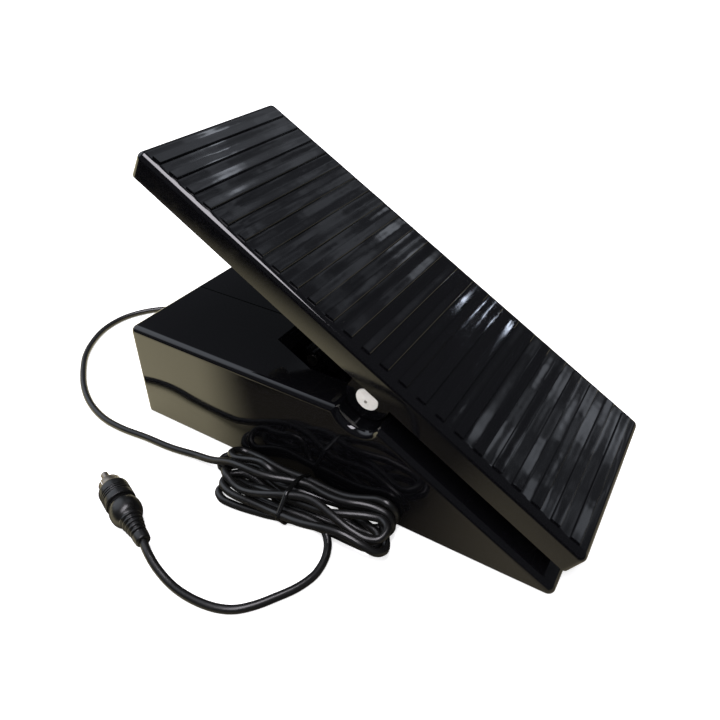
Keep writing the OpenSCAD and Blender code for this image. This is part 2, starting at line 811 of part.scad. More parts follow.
// Boot: smooth sleeve, tapering rings and the round bulge
module plug_boot() {
    ring_r = [3.7, 4.5];
    sleeve_r = 3.1;
    wide = plug_boot_d / 2;
    neck = plug_body_d / 2 - 0.5;
    core = 0.6;
    color(black) on_plug(0) rotate_extrude() polygon(concat(
        [[0, 0], [sleeve_r - 0.5, 0], [sleeve_r, 0.5], [ring_r[0] - 0.1, boot_sleeve_l - 0.3]],
        [for (i = [0:boot_rings - 1]) let (r = ring_r[0] + (ring_r[1] - ring_r[0]) * i / (boot_rings - 1),
            u = boot_sleeve_l + i * boot_ring_pitch)
            each [[r - core, u], [r - core, u + 0.6], [r, u + 0.9], [r, u + boot_ring_pitch - 0.2]]],
        [for (a = [-60:15:50]) [neck - 1.4 + (wide - neck + 1.4) * cos(a), boot_wide_l + 5 * sin(a)]],
        [[neck, boot_l], [0, boot_l]]));
}

module plug_body() {
    r = plug_body_d / 2;
    shoulder = 1.5;
    groove = 0.3;
    color(black) on_plug(boot_l) rotate_extrude() polygon(concat(
        [[0, 0], [r - 0.4, 0], [r, 0.4]],
        [for (i = [0:2]) let (u = 0.8 + 1.1 * i)
            each [[r, u], [r - groove, u + 0.1], [r - groove, u + 0.5], [r, u + 0.6]]],
        [for (a = [0:15:90]) [r - shoulder + shoulder * cos(a), body_l - shoulder + shoulder * sin(a)]],
        [[0, body_l]]));
}

module plug_shell() {
    wall = 0.4;
    slot_w = 0.6;
    color(steel) on_plug(boot_l + body_l) difference() {
        cylinder(d = plug_shell_d, h = shell_l);
        translate([0, 0, 0.5]) cylinder(d = plug_shell_d - 2 * wall, h = shell_l);
        for (a = [45:90:315])
            rotate(a) translate([plug_shell_d / 4, -slot_w / 2, 0.8]) cube([plug_shell_d, slot_w, shell_l]);
    }
}

module plug_insulator() {
    color([0.1, 0.1, 0.1]) on_plug(boot_l + body_l + 0.5) difference() {
        cylinder(d = plug_shell_d - 1, h = 1.2);
        translate([0, 0, -eps]) cylinder(d = plug_pin_d + 2 * press_clear, h = 2);
    }
}

module plug_pin() {
    round_r = 0.9;
    r = plug_pin_d / 2;
    l = shell_l + pin_l - 0.5;
    color(steel) on_plug(boot_l + body_l + 0.5) rotate_extrude() polygon(concat(
        [[0, 0], [r, 0]],
        [for (a = [0:22.5:90]) [r - round_r + round_r * cos(a), l - round_r + round_r * sin(a)]],
        [[0, l]]));
}

base_half_left();
base_half_right();
bottom_plate();
base_screws();
foot_toe_left();
foot_toe_right();
foot_heel_left();
foot_heel_right();
pivot_pin_left();
pivot_pin_right();
pot_bracket();
bracket_screws();
pot_body();
pot_wafer();
pot_tabs();
pot_nut();
pot_shaft();
pinion();
treadle();
gear_sector();
sector_screws();
bumper_toe_left();
bumper_toe_right();
bumper_heel_left();
bumper_heel_right();
cord_gland();
cord_lead();
cord_hank();
cord_tail();
hank_tie();
plug_boot();
plug_body();
plug_shell();
plug_insulator();
plug_pin();
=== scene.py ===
import json
import math

import bmesh
import bpy
import numpy as np
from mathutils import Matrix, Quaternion, Vector
from mathutils.bvhtree import BVHTree

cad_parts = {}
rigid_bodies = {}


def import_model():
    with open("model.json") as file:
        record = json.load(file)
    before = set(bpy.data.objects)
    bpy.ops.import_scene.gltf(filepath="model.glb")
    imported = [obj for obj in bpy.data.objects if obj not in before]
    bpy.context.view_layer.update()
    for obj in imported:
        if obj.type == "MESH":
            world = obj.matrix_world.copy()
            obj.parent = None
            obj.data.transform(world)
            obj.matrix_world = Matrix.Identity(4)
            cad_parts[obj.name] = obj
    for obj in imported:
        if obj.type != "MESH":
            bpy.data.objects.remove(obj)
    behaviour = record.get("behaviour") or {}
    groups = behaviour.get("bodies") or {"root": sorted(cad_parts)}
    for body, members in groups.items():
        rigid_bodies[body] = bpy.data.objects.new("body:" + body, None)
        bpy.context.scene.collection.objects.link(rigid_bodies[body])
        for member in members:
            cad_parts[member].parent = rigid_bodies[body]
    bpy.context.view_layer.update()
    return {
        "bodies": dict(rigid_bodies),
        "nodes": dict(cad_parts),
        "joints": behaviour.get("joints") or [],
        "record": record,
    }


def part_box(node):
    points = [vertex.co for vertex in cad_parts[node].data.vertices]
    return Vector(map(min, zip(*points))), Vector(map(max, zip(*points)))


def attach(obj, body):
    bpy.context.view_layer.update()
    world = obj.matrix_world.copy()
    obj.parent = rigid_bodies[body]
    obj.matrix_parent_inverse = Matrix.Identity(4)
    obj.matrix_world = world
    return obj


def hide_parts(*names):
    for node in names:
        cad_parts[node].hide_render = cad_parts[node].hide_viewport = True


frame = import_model()
scene = bpy.context.scene
mm = 0.001
imageSide = 720

# In every function below, s is the settings of the piece or material that it makes

# Where things show in the photograph, in pixels from its top left corner
imagePoints = {
    "treadle left x": (133.8, None),
    "treadle right x": (638.0, None),
    "treadle top y": (None, 105.0),
    "base bottom y": (None, 593.5),
    "treadle toe corner near": (139.8, 153.2),
    "treadle toe corner far": (272.5, 105.0),
    "treadle heel corner far": (638.0, 424.0),
    "treadle heel corner near": (586.7, 559.8),
    "base toe corner top": (133.6, 330.2),
    "base toe corner bottom": (151.8, 409.1),
    "base heel corner": (552.5, 593.0),
    "trough bottom": (366.2, 434.4),
    "pin gate mark": (365.5, 401.8),
    "opening corner": (278.2, 341.6),
    "first rib end": (157.0, 156.8),
    "last rib end": (572.0, 533.4),
    "plug tip": (103.4, 472.7),
    "boot widest": (124.7, 514.2),
}

cameraSettings = {
    "place": (-0.20132, -0.12050, 0.21480),
    "aim": (-0.03815, -0.02636, 0.10116),
    "roll": 0.188,
    "lens": 32.879,
    "sensor": 36.0,
    "shiftX": -0.03743,
    "shiftY": -0.08402,
}


def makeCamera(s):
    data = bpy.data.cameras.new("photoCamera")
    camera = bpy.data.objects.new("photoCamera", data)
    scene.collection.objects.link(camera)
    data.sensor_fit = "AUTO"
    data.sensor_width = s["sensor"]
    data.lens = s["lens"]
    data.shift_x = s["shiftX"]
    data.shift_y = s["shiftY"]
    data.clip_start = 0.01
    data.clip_end = 50
    place, aim = Vector(s["place"]), Vector(s["aim"])
    turn = (aim - place).to_track_quat("-Z", "Y")
    roll = Quaternion((0, 0, 1), math.radians(s["roll"]))
    camera.location = place
    camera.rotation_mode = "QUATERNION"
    camera.rotation_quaternion = turn @ roll
    scene.camera = camera
    return camera


camera = makeCamera(cameraSettings)
cameraTurn = camera.rotation_quaternion.to_matrix()
cameraPlace = camera.location.copy()


def imageSpot(points):
    # Pixels of world points: each is turned into the camera's axes, divided by its depth and shifted
    local = (np.asarray(points, float).reshape(-1, 3) - np.array(cameraPlace)) @ np.array(cameraTurn)
    scale = imageSide * cameraSettings["lens"] / cameraSettings["sensor"] / -local[:, 2]
    x = imageSide / 2 + local[:, 0] * scale - cameraSettings["shiftX"] * imageSide
    y = imageSide / 2 - local[:, 1] * scale + cameraSettings["shiftY"] * imageSide
    return np.stack([x, y], 1)


def placeOn(tree, x, y):
    # Where the ray through pixel (x, y) meets the surface in tree, and that surface's normal
    direction = cameraTurn @ Vector((
        x - imageSide / 2 + cameraSettings["shiftX"] * imageSide,
        imageSide / 2 - y + cameraSettings["shiftY"] * imageSide,
        -imageSide * cameraSettings["lens"] / cameraSettings["sensor"],
    )).normalized()
    place, normal = tree.ray_cast(cameraPlace, direction)[:2]
    if place is None:  # a miss takes the nearest place along the ray
        steps = [cameraPlace + direction * (0.15 + 0.002 * i) for i in range(150)]
        found = [tree.find_nearest(step) + (step,) for step in steps]
        place, normal = min(found, key=lambda f: (f[0] - f[4]).length)[:2]
    return place, normal


print("camera made")

# Cord route: out of the gland, round the toe end, along the side, through the tied hank and on to the plug
cordSettings = {
    "diameter": 3.2 * mm,
    "step": 1.1 * mm,
    "exit": (0.028, 0.120507, 0.010),
    "lead": [
        (28, 120.507, 10), (28.5, 128.5, 8), (30.5, 138, 4), (32, 148.5, 1.62), (31, 158.5, 1.62),
        (26.5, 167.5, 1.62), (18, 176, 1.62), (6.5, 181.4, 1.62), (-6.8, 181.4, 1.62), (-19.1, 176.6, 1.62),
        (-30.4, 168.8, 1.62), (-40.7, 157.7, 1.62), (-49.2, 146.1, 1.62), (-55.9, 133, 1.62),
        (-59.9, 118.9, 1.62), (-60.6, 105.2, 1.62), (-59.2, 90.5, 1.62), (-58.3, 75.8, 1.62), (-57.1, 62, 3),
    ],
    "hank": [
        (-57.3, 56.6, 4.2), (-57.6, 51.6, 5.6), (-57.9, 46.8, 7.5), (-58, 42, 9.6), (-58.3, 37.2, 11.4),
        (-58.7, 32.1, 12.5), (-58.8, 26.9, 12.9), (-58.5, 21.7, 13), (-57.3, 16.6, 12.9), (-55.5, 11.8, 12.6),
        (-53.7, 6.9, 12.3), (-52.7, 1.8, 12), (-52.8, -3.4, 11.7), (-53.2, -8.6, 11.9), (-53.2, -13.8, 12.4),
        (-52.2, -18.8, 12.8), (-50.5, -23.8, 12.7), (-49.2, -28.7, 12), (-48.7, -33.6, 10.2),
        (-49.6, -35.5, 5.8), (-51.7, -32.9, 2.3), (-53.8, -28.2, 2.2), (-55.2, -23.4, 3.5), (-55.5, -18.4, 5),
        (-55.3, -13.3, 5.5), (-55.4, -8.1, 4.9), (-55.8, -3, 3.9), (-55.9, 2.1, 2.8), (-55.4, 7.2, 2.2),
        (-54.5, 12.3, 2), (-53.4, 17.4, 1.9), (-52.6, 22.6, 1.9), (-51.4, 27.7, 1.8), (-49.7, 32.6, 1.8),
        (-47.7, 37.4, 1.7), (-46.3, 42.4, 1.7), (-47, 47.4, 1.9), (-51.3, 50.1, 2.2), (-55.6, 47.8, 2.2),
        (-56.8, 42.8, 2), (-57.3, 37.6, 1.8), (-58, 32.4, 2.1), (-58.8, 27.4, 3.3), (-59.4, 22.7, 5.3),
        (-59.8, 17.8, 7), (-60.2, 12.7, 8.1), (-60.4, 7.5, 8.7), (-60.2, 2.3, 9.2), (-59.9, -2.9, 9.6),
        (-59.6, -8, 10), (-58.8, -13.1, 10.5), (-57.1, -18, 11), (-55, -22.8, 11.1), (-53.1, -27.6, 11.1),
        (-52.3, -32.7, 11.3), (-55.2, -36.7, 11.8), (-60.1, -36.5, 11.1), (-62.4, -32.1, 10.7),
        (-62.8, -27, 11.3), (-62.5, -21.9, 12.2), (-61.6, -16.8, 13), (-60.4, -11.7, 13.4),
        (-59.5, -6.6, 13.6), (-59.7, -1.4, 13.5), (-61.1, 3.6, 13.2), (-63, 8.4, 12.6), (-64.4, 13.2, 11.5),
        (-65.1, 18.1, 9.9), (-65.2, 23.1, 8.2), (-64.9, 28.1, 7), (-64, 33.2, 7.1), (-62.3, 38.1, 8),
        (-59, 41.5, 6.7), (-54.4, 41, 4.6), (-51.4, 37, 4.5), (-50.8, 32, 5.5), (-51.5, 26.9, 6.3),
        (-53, 21.9, 6.8), (-54.6, 17, 7.2), (-55.2, 11.9, 7.9), (-54.7, 6.7, 8.4), (-53.6, 1.6, 8.1),
        (-52.5, -3.4, 7.4), (-51.3, -8.4, 6.6), (-50, -13.4, 6.3), (-48.6, -18.4, 6.6), (-47.5, -23.5, 7),
        (-48.3, -28.6, 7), (-51.5, -32.7, 6.9), (-55.4, -36.1, 6.5), (-59.9, -38.5, 6.1), (-64.1, -37, 8.1),
        (-65.6, -32.7, 10.5), (-66.2, -27.8, 12.1), (-66.7, -22.7, 12.9), (-67.4, -17.5, 12.7),
        (-68.2, -12.4, 12), (-68.8, -7.3, 11.1), (-68.8, -2.2, 10), (-68.2, 2.7, 8.6), (-67.5, 7.7, 7),
        (-67, 12.7, 5.9), (-67.1, 17.9, 5.5), (-67.6, 23.1, 5.7), (-67.9, 28.3, 5.8), (-67.3, 33.4, 5.8),
        (-64.9, 37.9, 5.4), (-60, 38.5, 5.2), (-56.5, 35, 5), (-55.8, 29.9, 4.4), (-56.1, 24.8, 3.6),
        (-57.2, 19.8, 2.9), (-58.5, 14.7, 2.6), (-59.3, 9.6, 3), (-59.6, 4.5, 3.7), (-59.4, -0.7, 4.4),
        (-58.9, -5.9, 4.4), (-58, -10.9, 3.5), (-56.4, -15.7, 2.4), (-54.1, -20.4, 1.6), (-51.8, -25, 1.6),
        (-49.3, -29.6, 2), (-46.6, -33.6, 3.7), (-45.3, -34.8, 8.3), (-45.6, -32.1, 12.6), (-45.7, -27, 12.9),
        (-46, -22.2, 11.1), (-46.5, -17.3, 9.3), (-47, -12.3, 8.1), (-47.3, -7.1, 7.7), (-47.5, -1.9, 7.9),
        (-47.5, 3.3, 8.1), (-47.5, 8.5, 8), (-47.8, 13.7, 7.8), (-48.2, 18.9, 8), (-48.1, 24.1, 8.3),
        (-47.3, 29.2, 7.9), (-46.3, 34.2, 6.7), (-45.6, 39.2, 5.4), (-47.2, 43.7, 6.4), (-51.7, 44.2, 8.6),
        (-54, 40.1, 9.6), (-53.4, 35, 10.5), (-52.8, 30, 11.9), (-53.2, 25, 13.2), (-53.8, 20.1, 12.2),
        (-52.4, 16.2, 9.1), (-50.4, 12.4, 6.2), (-48.5, 7.9, 4.5), (-47.2, 2.9, 3.9), (-46.8, -2.3, 3.4),
        (-47.4, -7.4, 2.9), (-49, -12.4, 3), (-50.8, -17.2, 3.7), (-52.1, -22.2, 4.7), (-53, -27.3, 5.3),
        (-54.4, -32.2, 4.7), (-58.5, -34.7, 4.5), (-62.3, -31.8, 5.4), (-62.7, -26.6, 5.2),
        (-62.2, -21.6, 4.2), (-61.5, -16.5, 3), (-61.3, -11.4, 2), (-61.6, -6.3, 1.6), (-62.6, -1.2, 1.7),
        (-64.1, 3.8, 2), (-65.6, 8.8, 2.1), (-66.9, 13.9, 2), (-67.8, 19, 1.8), (-68.7, 24.1, 1.7),
        (-69.4, 29.3, 1.8), (-69.5, 34.5, 2), (-67, 38.7, 2.1), (-62.1, 38.2, 2), (-60.9, 33.5, 2.7),
        (-62, 28.5, 3.2), (-63.1, 23.4, 3.8), (-63.5, 18.3, 4.4), (-63.6, 13.1, 5), (-63.4, 7.9, 5.3),
        (-63, 2.7, 5.5), (-62.3, -2.5, 5.3), (-61.9, -7.6, 5), (-63, -12.6, 4.6), (-66.1, -16.4, 3),
        (-70.6, -18.7, 2), (-75.7, -19.7, 1.6), (-80.9, -19.5, 1.6),
    ],
    "tail": [
        (-87.6, -17.1, 1.62), (-94.3, -12.9, 1.62), (-100.4, -8.5, 1.62), (-105.4, -3.1, 1.62),
        (-108.4, 4.1, 1.62),
        (-109.7, 13.5, 1.62), (-109.5, 22.5, 2.22), (-107.9, 31.4, 4.02), (-105.5, 38.3, 5.62),
        (-102.8, 43.6, 6.32),
    ],
}


def smoothLine(points, steps):
    # Each span is a cubic through its two ends, whose slopes follow the neighbours on both sides
    p = np.concatenate([points[:1], points, points[-1:]])
    a, b, c, d = (p[i:len(points) - 1 + i, None] for i in range(4))
    t = (np.arange(steps) / steps)[None, :, None]
    curved = (2 * a - 5 * b + 4 * c - d) * t ** 2 + (3 * b - a - 3 * c + d) * t ** 3
    line = 0.5 * (2 * b + (c - a) * t + curved)
    return np.concatenate([line.reshape(-1, 3), points[-1:]])


def evenLine(line, step):
    # The same line with its points a fixed step apart
    run = np.concatenate([[0], np.cumsum(np.linalg.norm(np.diff(line, axis=0), axis=1))])
    even = np.linspace(0, run[-1], int(run[-1] / step) + 1)
    return np.stack([np.interp(even, run, line[:, k]) for k in range(3)], 1), run[-1]


def makeCord(s):
    route = np.array(s["lead"] + s["hank"] + s["tail"], float) * mm
    line, length = evenLine(smoothLine(route, 8), s["step"])
    curve = bpy.data.curves.new("cordRun", "CURVE")
    curve.dimensions = "3D"
    curve.bevel_depth = 1.0
    curve.bevel_resolution = 5
    curve.use_fill_caps = True
    spline = curve.splines.new("POLY")
    spline.points.add(len(line) - 1)
    spline.points.foreach_set("co", np.concatenate([line, np.ones((len(line), 1))], 1).ravel())
    spline.points.foreach_set("radius", np.full(len(line), s["diameter"] / 2))
    spline.use_smooth = True
    cord = bpy.data.objects.new("cordRun", curve)
    scene.collection.objects.link(cord)
    return cord, line, length


cordRun, cordLine, cordLength = makeCord(cordSettings)
print("cord made,", round(cordLength, 3), "m long")


def linear(text):
    # sRGB to linear: a dark channel is divided by 12.92, any other is shifted, scaled and raised to 2.4
    value = np.array([int(text[i:i + 2], 16) for i in (1, 3, 5)]) / 255
    value = np.where(value < 0.04045, value / 12.92, ((value + 0.055) / 1.055) ** 2.4)
    return (*value.tolist(), 1.0)


def addNode(tree, kind, values=None, links=None, **settings):
    # One node with its settings, its socket values and its links, each socket by name or number
    made = tree.nodes.new(kind)
    for key, value in settings.items():
        setattr(made, key, value)
    for key, value in (values or {}).items():
        made.inputs[key].default_value = value
    for key, source in (links or {}).items():
        tree.links.new(source, made.inputs[key])
    return made


def newMaterial(name, values):
    # A material with these values on its shader, and the place on the piece that its patterns follow
    material = bpy.data.materials.new(name)
    material.use_nodes = True
    tree = material.node_tree
    shader = tree.nodes["Principled BSDF"]
    for key, value in values.items():
        shader.inputs[key].default_value = value
    return material, tree, shader, addNode(tree, "ShaderNodeTexCoord").outputs["Object"]


def linkShader(tree, shader, gloss, height=None, colour=None):
    # Roughness, a height in metres by way of a bump, and colour go to the shader
    tree.links.new(gloss.outputs[0], shader.inputs["Roughness"])
    if height is not None:
        bump = addNode(
            tree, "ShaderNodeBump", {"Strength": 1.0, "Distance": 1.0}, {"Height": height.outputs[0]})
        tree.links.new(bump.outputs[0], shader.inputs["Normal"])
    if colour is not None:
        tree.links.new(colour.outputs[2], shader.inputs["Base Color"])


def mixed(first, second):
    # The two colours of a mix
    return {6: linear(first), 7: linear(second)}


def span(side, ends):
    # The two values of a map range's From or To side
    return {side + " Min": ends[0], side + " Max": ends[1]}


# Nearly all of a noise texture's values lie in this span
noiseSpan = span("From", (0.3, 0.7))
softEdge = {"interpolation_type": "SMOOTHSTEP"}


# The ribs lie 8.909 mm apart on a plate tilted by 30.85 degrees, the first one's edge 120.6 mm from the pivot
treadleTilt = math.radians(30.85)
treadleAxis = (0.0, math.cos(treadleTilt), math.sin(treadleTilt))
treadleUp = (0.0, -math.sin(treadleTilt), math.cos(treadleTilt))
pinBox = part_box("pivot_pin_left")
pivot = (0.0, (pinBox[0][1] + pinBox[1][1]) / 2, (pinBox[0][2] + pinBox[1][2]) / 2)
ribPitch = 8.909 * mm
firstRib = 120.6 * mm - 2.02 * mm
ribPhase = math.pi - 2 * math.pi / ribPitch * (firstRib + float(np.dot(pivot, treadleAxis)))


def polishedAbs(name, s):
    # Injection-moulded ABS from a polished tool: a deep black mirror that bends a little over sink
    # marks and flow, with rubbed patches, a few hairline scratches and specks of dust. Across the
    # ribs the skin sinks and crowns once a rib, so that each one repeats the same reflection
    material, tree, shader, place = newMaterial(name, {"IOR": 1.54})
    wave = addNode(tree, "ShaderNodeTexNoise", {"Scale": 1 / s["waveSize"], "Detail": 1.0}, {"Vector": place})
    facing = addNode(
        tree, "ShaderNodeVectorMath", {1: treadleUp}, {0: place.node.outputs["Normal"]},
        operation="DOT_PRODUCT")
    broad = addNode(
        tree, "ShaderNodeMapRange", {**span("From", s["flat"]), "To Min": s["sideWave"]},
        {"Value": facing.outputs["Value"]})
    long = addNode(tree, "ShaderNodeMapping", {"Scale": s["rubStretch"]}, {"Vector": place})
    rub = addNode(
        tree, "ShaderNodeTexNoise", {"Scale": 1 / s["rubSize"], "Detail": 5.0, "Roughness": 0.65},
        {"Vector": long.outputs[0]})
    scratch = addNode(
        tree, "ShaderNodeTexNoise", {"Scale": 1 / s["scratchSize"], "Detail": 2.0}, {"Vector": long.outputs[0]})
    axes = addNode(tree, "ShaderNodeSeparateXYZ", {}, {0: place})
    aside = addNode(tree, "ShaderNodeMath", {}, {0: axes.outputs["X"]}, operation="ABSOLUTE")
    middle = addNode(
        tree, "ShaderNodeMapRange", span("From", (s["ribReach"] + s["ribFade"], s["ribReach"])),
        {"Value": aside.outputs[0]})
    speck = addNode(tree, "ShaderNodeTexVoronoi", {"Scale": 1 / s["dustSpacing"]}, {"Vector": place})
    run = addNode(tree, "ShaderNodeVectorMath", {1: s["ribAxis"]}, {0: place}, operation="DOT_PRODUCT")
    swing = addNode(
        tree, "ShaderNodeMath", {1: 2 * math.pi / s["ribPitch"], 2: s["ribPhase"]}, {0: run.outputs["Value"]},
        operation="MULTIPLY_ADD")
    crown = addNode(tree, "ShaderNodeMath", {}, {0: swing.outputs[0]}, operation="SINE")
    dot = addNode(
        tree, "ShaderNodeMapRange", span("From", (s["dustSize"], 0.0)), {"Value": speck.outputs["Distance"]})
    gloss = addNode(
        tree, "ShaderNodeMapRange", {**span("From", s["rubbed"]), **span("To", s["roughness"])},
        {"Value": rub.outputs[0]})
    dusty = addNode(
        tree, "ShaderNodeMath", {1: s["dustGloss"]}, {0: dot.outputs[0], 2: gloss.outputs[0]},
        operation="MULTIPLY_ADD")
    colour = addNode(
        tree, "ShaderNodeMix", mixed(s["colour"], s["dust"]), {0: dot.outputs[0]}, data_type="RGBA")
    sunk = addNode(tree, "ShaderNodeMath", {1: s["ribCrown"]}, {0: crown.outputs[0]}, operation="MULTIPLY")
    rise = addNode(
        tree, "ShaderNodeMath", {1: s["waveDepth"]}, {0: wave.outputs[0], 2: sunk.outputs[0]},
        operation="MULTIPLY_ADD")
    level = addNode(
        tree, "ShaderNodeMath", {}, {0: broad.outputs[0], 1: middle.outputs[0]}, operation="MULTIPLY")
    height = addNode(
        tree, "ShaderNodeMath", {}, {0: rise.outputs[0], 1: level.outputs[0]}, operation="MULTIPLY")
    fine = addNode(
        tree, "ShaderNodeMath", {1: s["scratchDepth"]}, {0: scratch.outputs[0], 2: height.outputs[0]},
        operation="MULTIPLY_ADD")
    linkShader(tree, shader, dusty, fine, colour)
    return material


# The same in both: how squarely a face looks up before it crowns, and how rubbing and dust dull it
absShared = {
    "colour": "#08080a", "flat": (0.975, 0.996), "rubbed": (0.35, 0.75), "dustGloss": 0.3,
    "scratchSize": 0.5 * mm, "ribAxis": treadleAxis, "ribPitch": ribPitch, "ribFade": 1.5 * mm,
}
baseAbs = polishedAbs("polishedBlackAbs", {
    **absShared, "dust": "#4a4845", "roughness": (0.03, 0.09), "waveSize": 26 * mm, "waveDepth": 0.035 * mm,
    "sideWave": 0.6, "rubSize": 9 * mm, "rubStretch": (1.0, 1.0, 1.0), "scratchDepth": 0.0006 * mm,
    "dustSpacing": 7 * mm, "dustSize": 0.022, "ribPhase": 0.0, "ribCrown": 0.0, "ribReach": 0.1,
})
treadleAbs = polishedAbs("wornBlackAbs", {
    **absShared, "dust": "#6c6a66", "roughness": (0.03, 0.12), "waveSize": 9 * mm, "waveDepth": 0.055 * mm,
    "sideWave": 0.08, "rubSize": 7 * mm, "rubStretch": (0.35, 1.0, 1.0), "scratchDepth": 0.001 * mm,
    "dustSpacing": 5 * mm, "dustSize": 0.024, "ribPhase": ribPhase, "ribCrown": 0.05 * mm,
    "ribReach": 37.5 * mm,
})


def coreSideAndShadeAbs(name, s):
    # The side of an ABS moulding that lay on the spark-eroded core: a dull, even black with no mirror in it.
    # The same finish is painted shade on recessed faces, such as lugs behind a skirt, where its darker black
    # and weak specular stand in for the shade that hides their reflections
    material, tree, shader, place = newMaterial(name, {
        "IOR": 1.54, "Base Color": linear(s["colour"]), "Specular IOR Level": s["specular"],
    })
    grit = addNode(tree, "ShaderNodeTexNoise", {"Scale": 1 / s["grit"], "Detail": 3.0}, {"Vector": place})
    gloss = addNode(
        tree, "ShaderNodeMapRange", {**noiseSpan, **span("To", s["roughness"])}, {"Value": grit.outputs[0]})
    height = addNode(tree, "ShaderNodeMath", {1: s["gritDepth"]}, {0: grit.outputs[0]}, operation="MULTIPLY")
    linkShader(tree, shader, gloss, height)
    return material


# Core side and painted shade: a darker black with little specular, for faces that the moulding hides
coreAndShadeAbs = coreSideAndShadeAbs("coreSideAndShadeAbs", {
    "colour": "#050506", "specular": 0.12, "roughness": (0.45, 0.6), "grit": 0.4 * mm, "gritDepth": 0.01 * mm,
})


def satinPlastic(name, s):
    # Extruded or moulded soft PVC, rubber or acetal: a satin black, broad in its highlight, with an orange peel
    material, tree, shader, place = newMaterial(name, {"IOR": 1.53, "Base Color": linear(s["colour"])})
    peel = addNode(tree, "ShaderNodeTexNoise", {"Scale": 1 / s["peelSize"], "Detail": 3.0}, {"Vector": place})
    cloud = addNode(tree, "ShaderNodeTexNoise", {"Scale": 1 / s["cloudSize"], "Detail": 3.0}, {"Vector": place})
    gloss = addNode(
        tree, "ShaderNodeMapRange", {**noiseSpan, **span("To", s["roughness"])}, {"Value": cloud.outputs[0]})
    height = addNode(tree, "ShaderNodeMath", {1: s["peelDepth"]}, {0: peel.outputs[0]}, operation="MULTIPLY")
    linkShader(tree, shader, gloss, height)
    return material


cordPvc = satinPlastic("extrudedCordPvc", {
    "colour": "#0f0f0f", "roughness": (0.26, 0.38), "peelSize": 0.9 * mm, "peelDepth": 0.006 * mm,
    "cloudSize": 12 * mm,
})
plugPvc = satinPlastic("mouldedPlugPvc", {
    "colour": "#0d0d0d", "roughness": (0.24, 0.36), "peelSize": 0.5 * mm, "peelDepth": 0.01 * mm,
    "cloudSize": 5 * mm,
})
tiePvc = satinPlastic("twistTiePvc", {
    "colour": "#0b0b0b", "roughness": (0.12, 0.2), "peelSize": 0.7 * mm, "peelDepth": 0.01 * mm,
    "cloudSize": 4 * mm,
})
footRubber = satinPlastic("mouldedRubber", {
    "colour": "#131312", "roughness": (0.62, 0.8), "peelSize": 0.35 * mm, "peelDepth": 0.03 * mm,
    "cloudSize": 3 * mm,
})
insulatorBlack = satinPlastic("mouldedInsulator", {
    "colour": "#1a1a1b", "roughness": (0.4, 0.55), "peelSize": 0.4 * mm, "peelDepth": 0.01 * mm,
    "cloudSize": 2 * mm,
})


def mouldedNylon(name, s):
    # Unfilled nylon from the mould: milky white that lets a little light in, with soft flow marks
    material, tree, shader, place = newMaterial(name, {
        "IOR": 1.53, "Subsurface Weight": 0.2, "Subsurface Radius": (0.6, 0.55, 0.45),
        "Subsurface Scale": 1.2 * mm,
    })
    flow = addNode(
        tree, "ShaderNodeTexNoise", {"Scale": 1 / s["flowSize"], "Detail": 4.0, "Distortion": 1.2},
        {"Vector": place})
    colour = addNode(tree, "ShaderNodeMix", mixed(*s["colours"]), {0: flow.outputs[0]}, data_type="RGBA")
    gloss = addNode(tree, "ShaderNodeMapRange", span("To", s["roughness"]), {"Value": flow.outputs[0]})
    height = addNode(tree, "ShaderNodeMath", {1: s["flowDepth"]}, {0: flow.outputs[0]}, operation="MULTIPLY")
    linkShader(tree, shader, gloss, height, colour)
    return material


pinNylon = mouldedNylon("mouldedNylon", {
    "colours": ("#f1efe9", "#dedbd2"), "roughness": (0.28, 0.42), "flowSize": 3 * mm, "flowDepth": 0.02 * mm,
})
# The gate stub's nylon is a darker grey than the pin's, with a rougher surface
gateNylon = mouldedNylon("shearedNylonGate", {
    "colours": ("#9a968a", "#6f6b62"), "roughness": (0.5, 0.65), "flowSize": 1 * mm, "flowDepth": 0.03 * mm,
})
gearAcetal = satinPlastic("mouldedBlackAcetal", {
    "colour": "#0c0c0d", "roughness": (0.32, 0.45), "peelSize": 1.5 * mm, "peelDepth": 0.008 * mm,
    "cloudSize": 5 * mm,
})


def platedMetal(name, s):
    # Plated metal, rolled or turned: fine lines along the work, cloudy brightness where it has been handled
    material, tree, shader, place = newMaterial(name, {"Metallic": 1.0})
    along = addNode(tree, "ShaderNodeMapping", {"Scale": s["grain"]}, {"Vector": place})
    line = addNode(
        tree, "ShaderNodeTexNoise", {"Scale": 1 / s["lineSize"], "Detail": 4.0}, {"Vector": along.outputs[0]})
    cloud = addNode(
        tree, "ShaderNodeTexVoronoi", {"Scale": 1 / s["cloudSize"]}, {"Vector": place}, feature="SMOOTH_F1")
    colour = addNode(
        tree, "ShaderNodeMix", mixed(*s["colours"]), {0: cloud.outputs["Distance"]}, data_type="RGBA")
    gloss = addNode(
        tree, "ShaderNodeMapRange", {**noiseSpan, **span("To", s["roughness"])}, {"Value": line.outputs[0]})
    height = addNode(tree, "ShaderNodeMath", {1: s["lineDepth"]}, {0: line.outputs[0]}, operation="MULTIPLY")
    linkShader(tree, shader, gloss, height, colour)
    return material


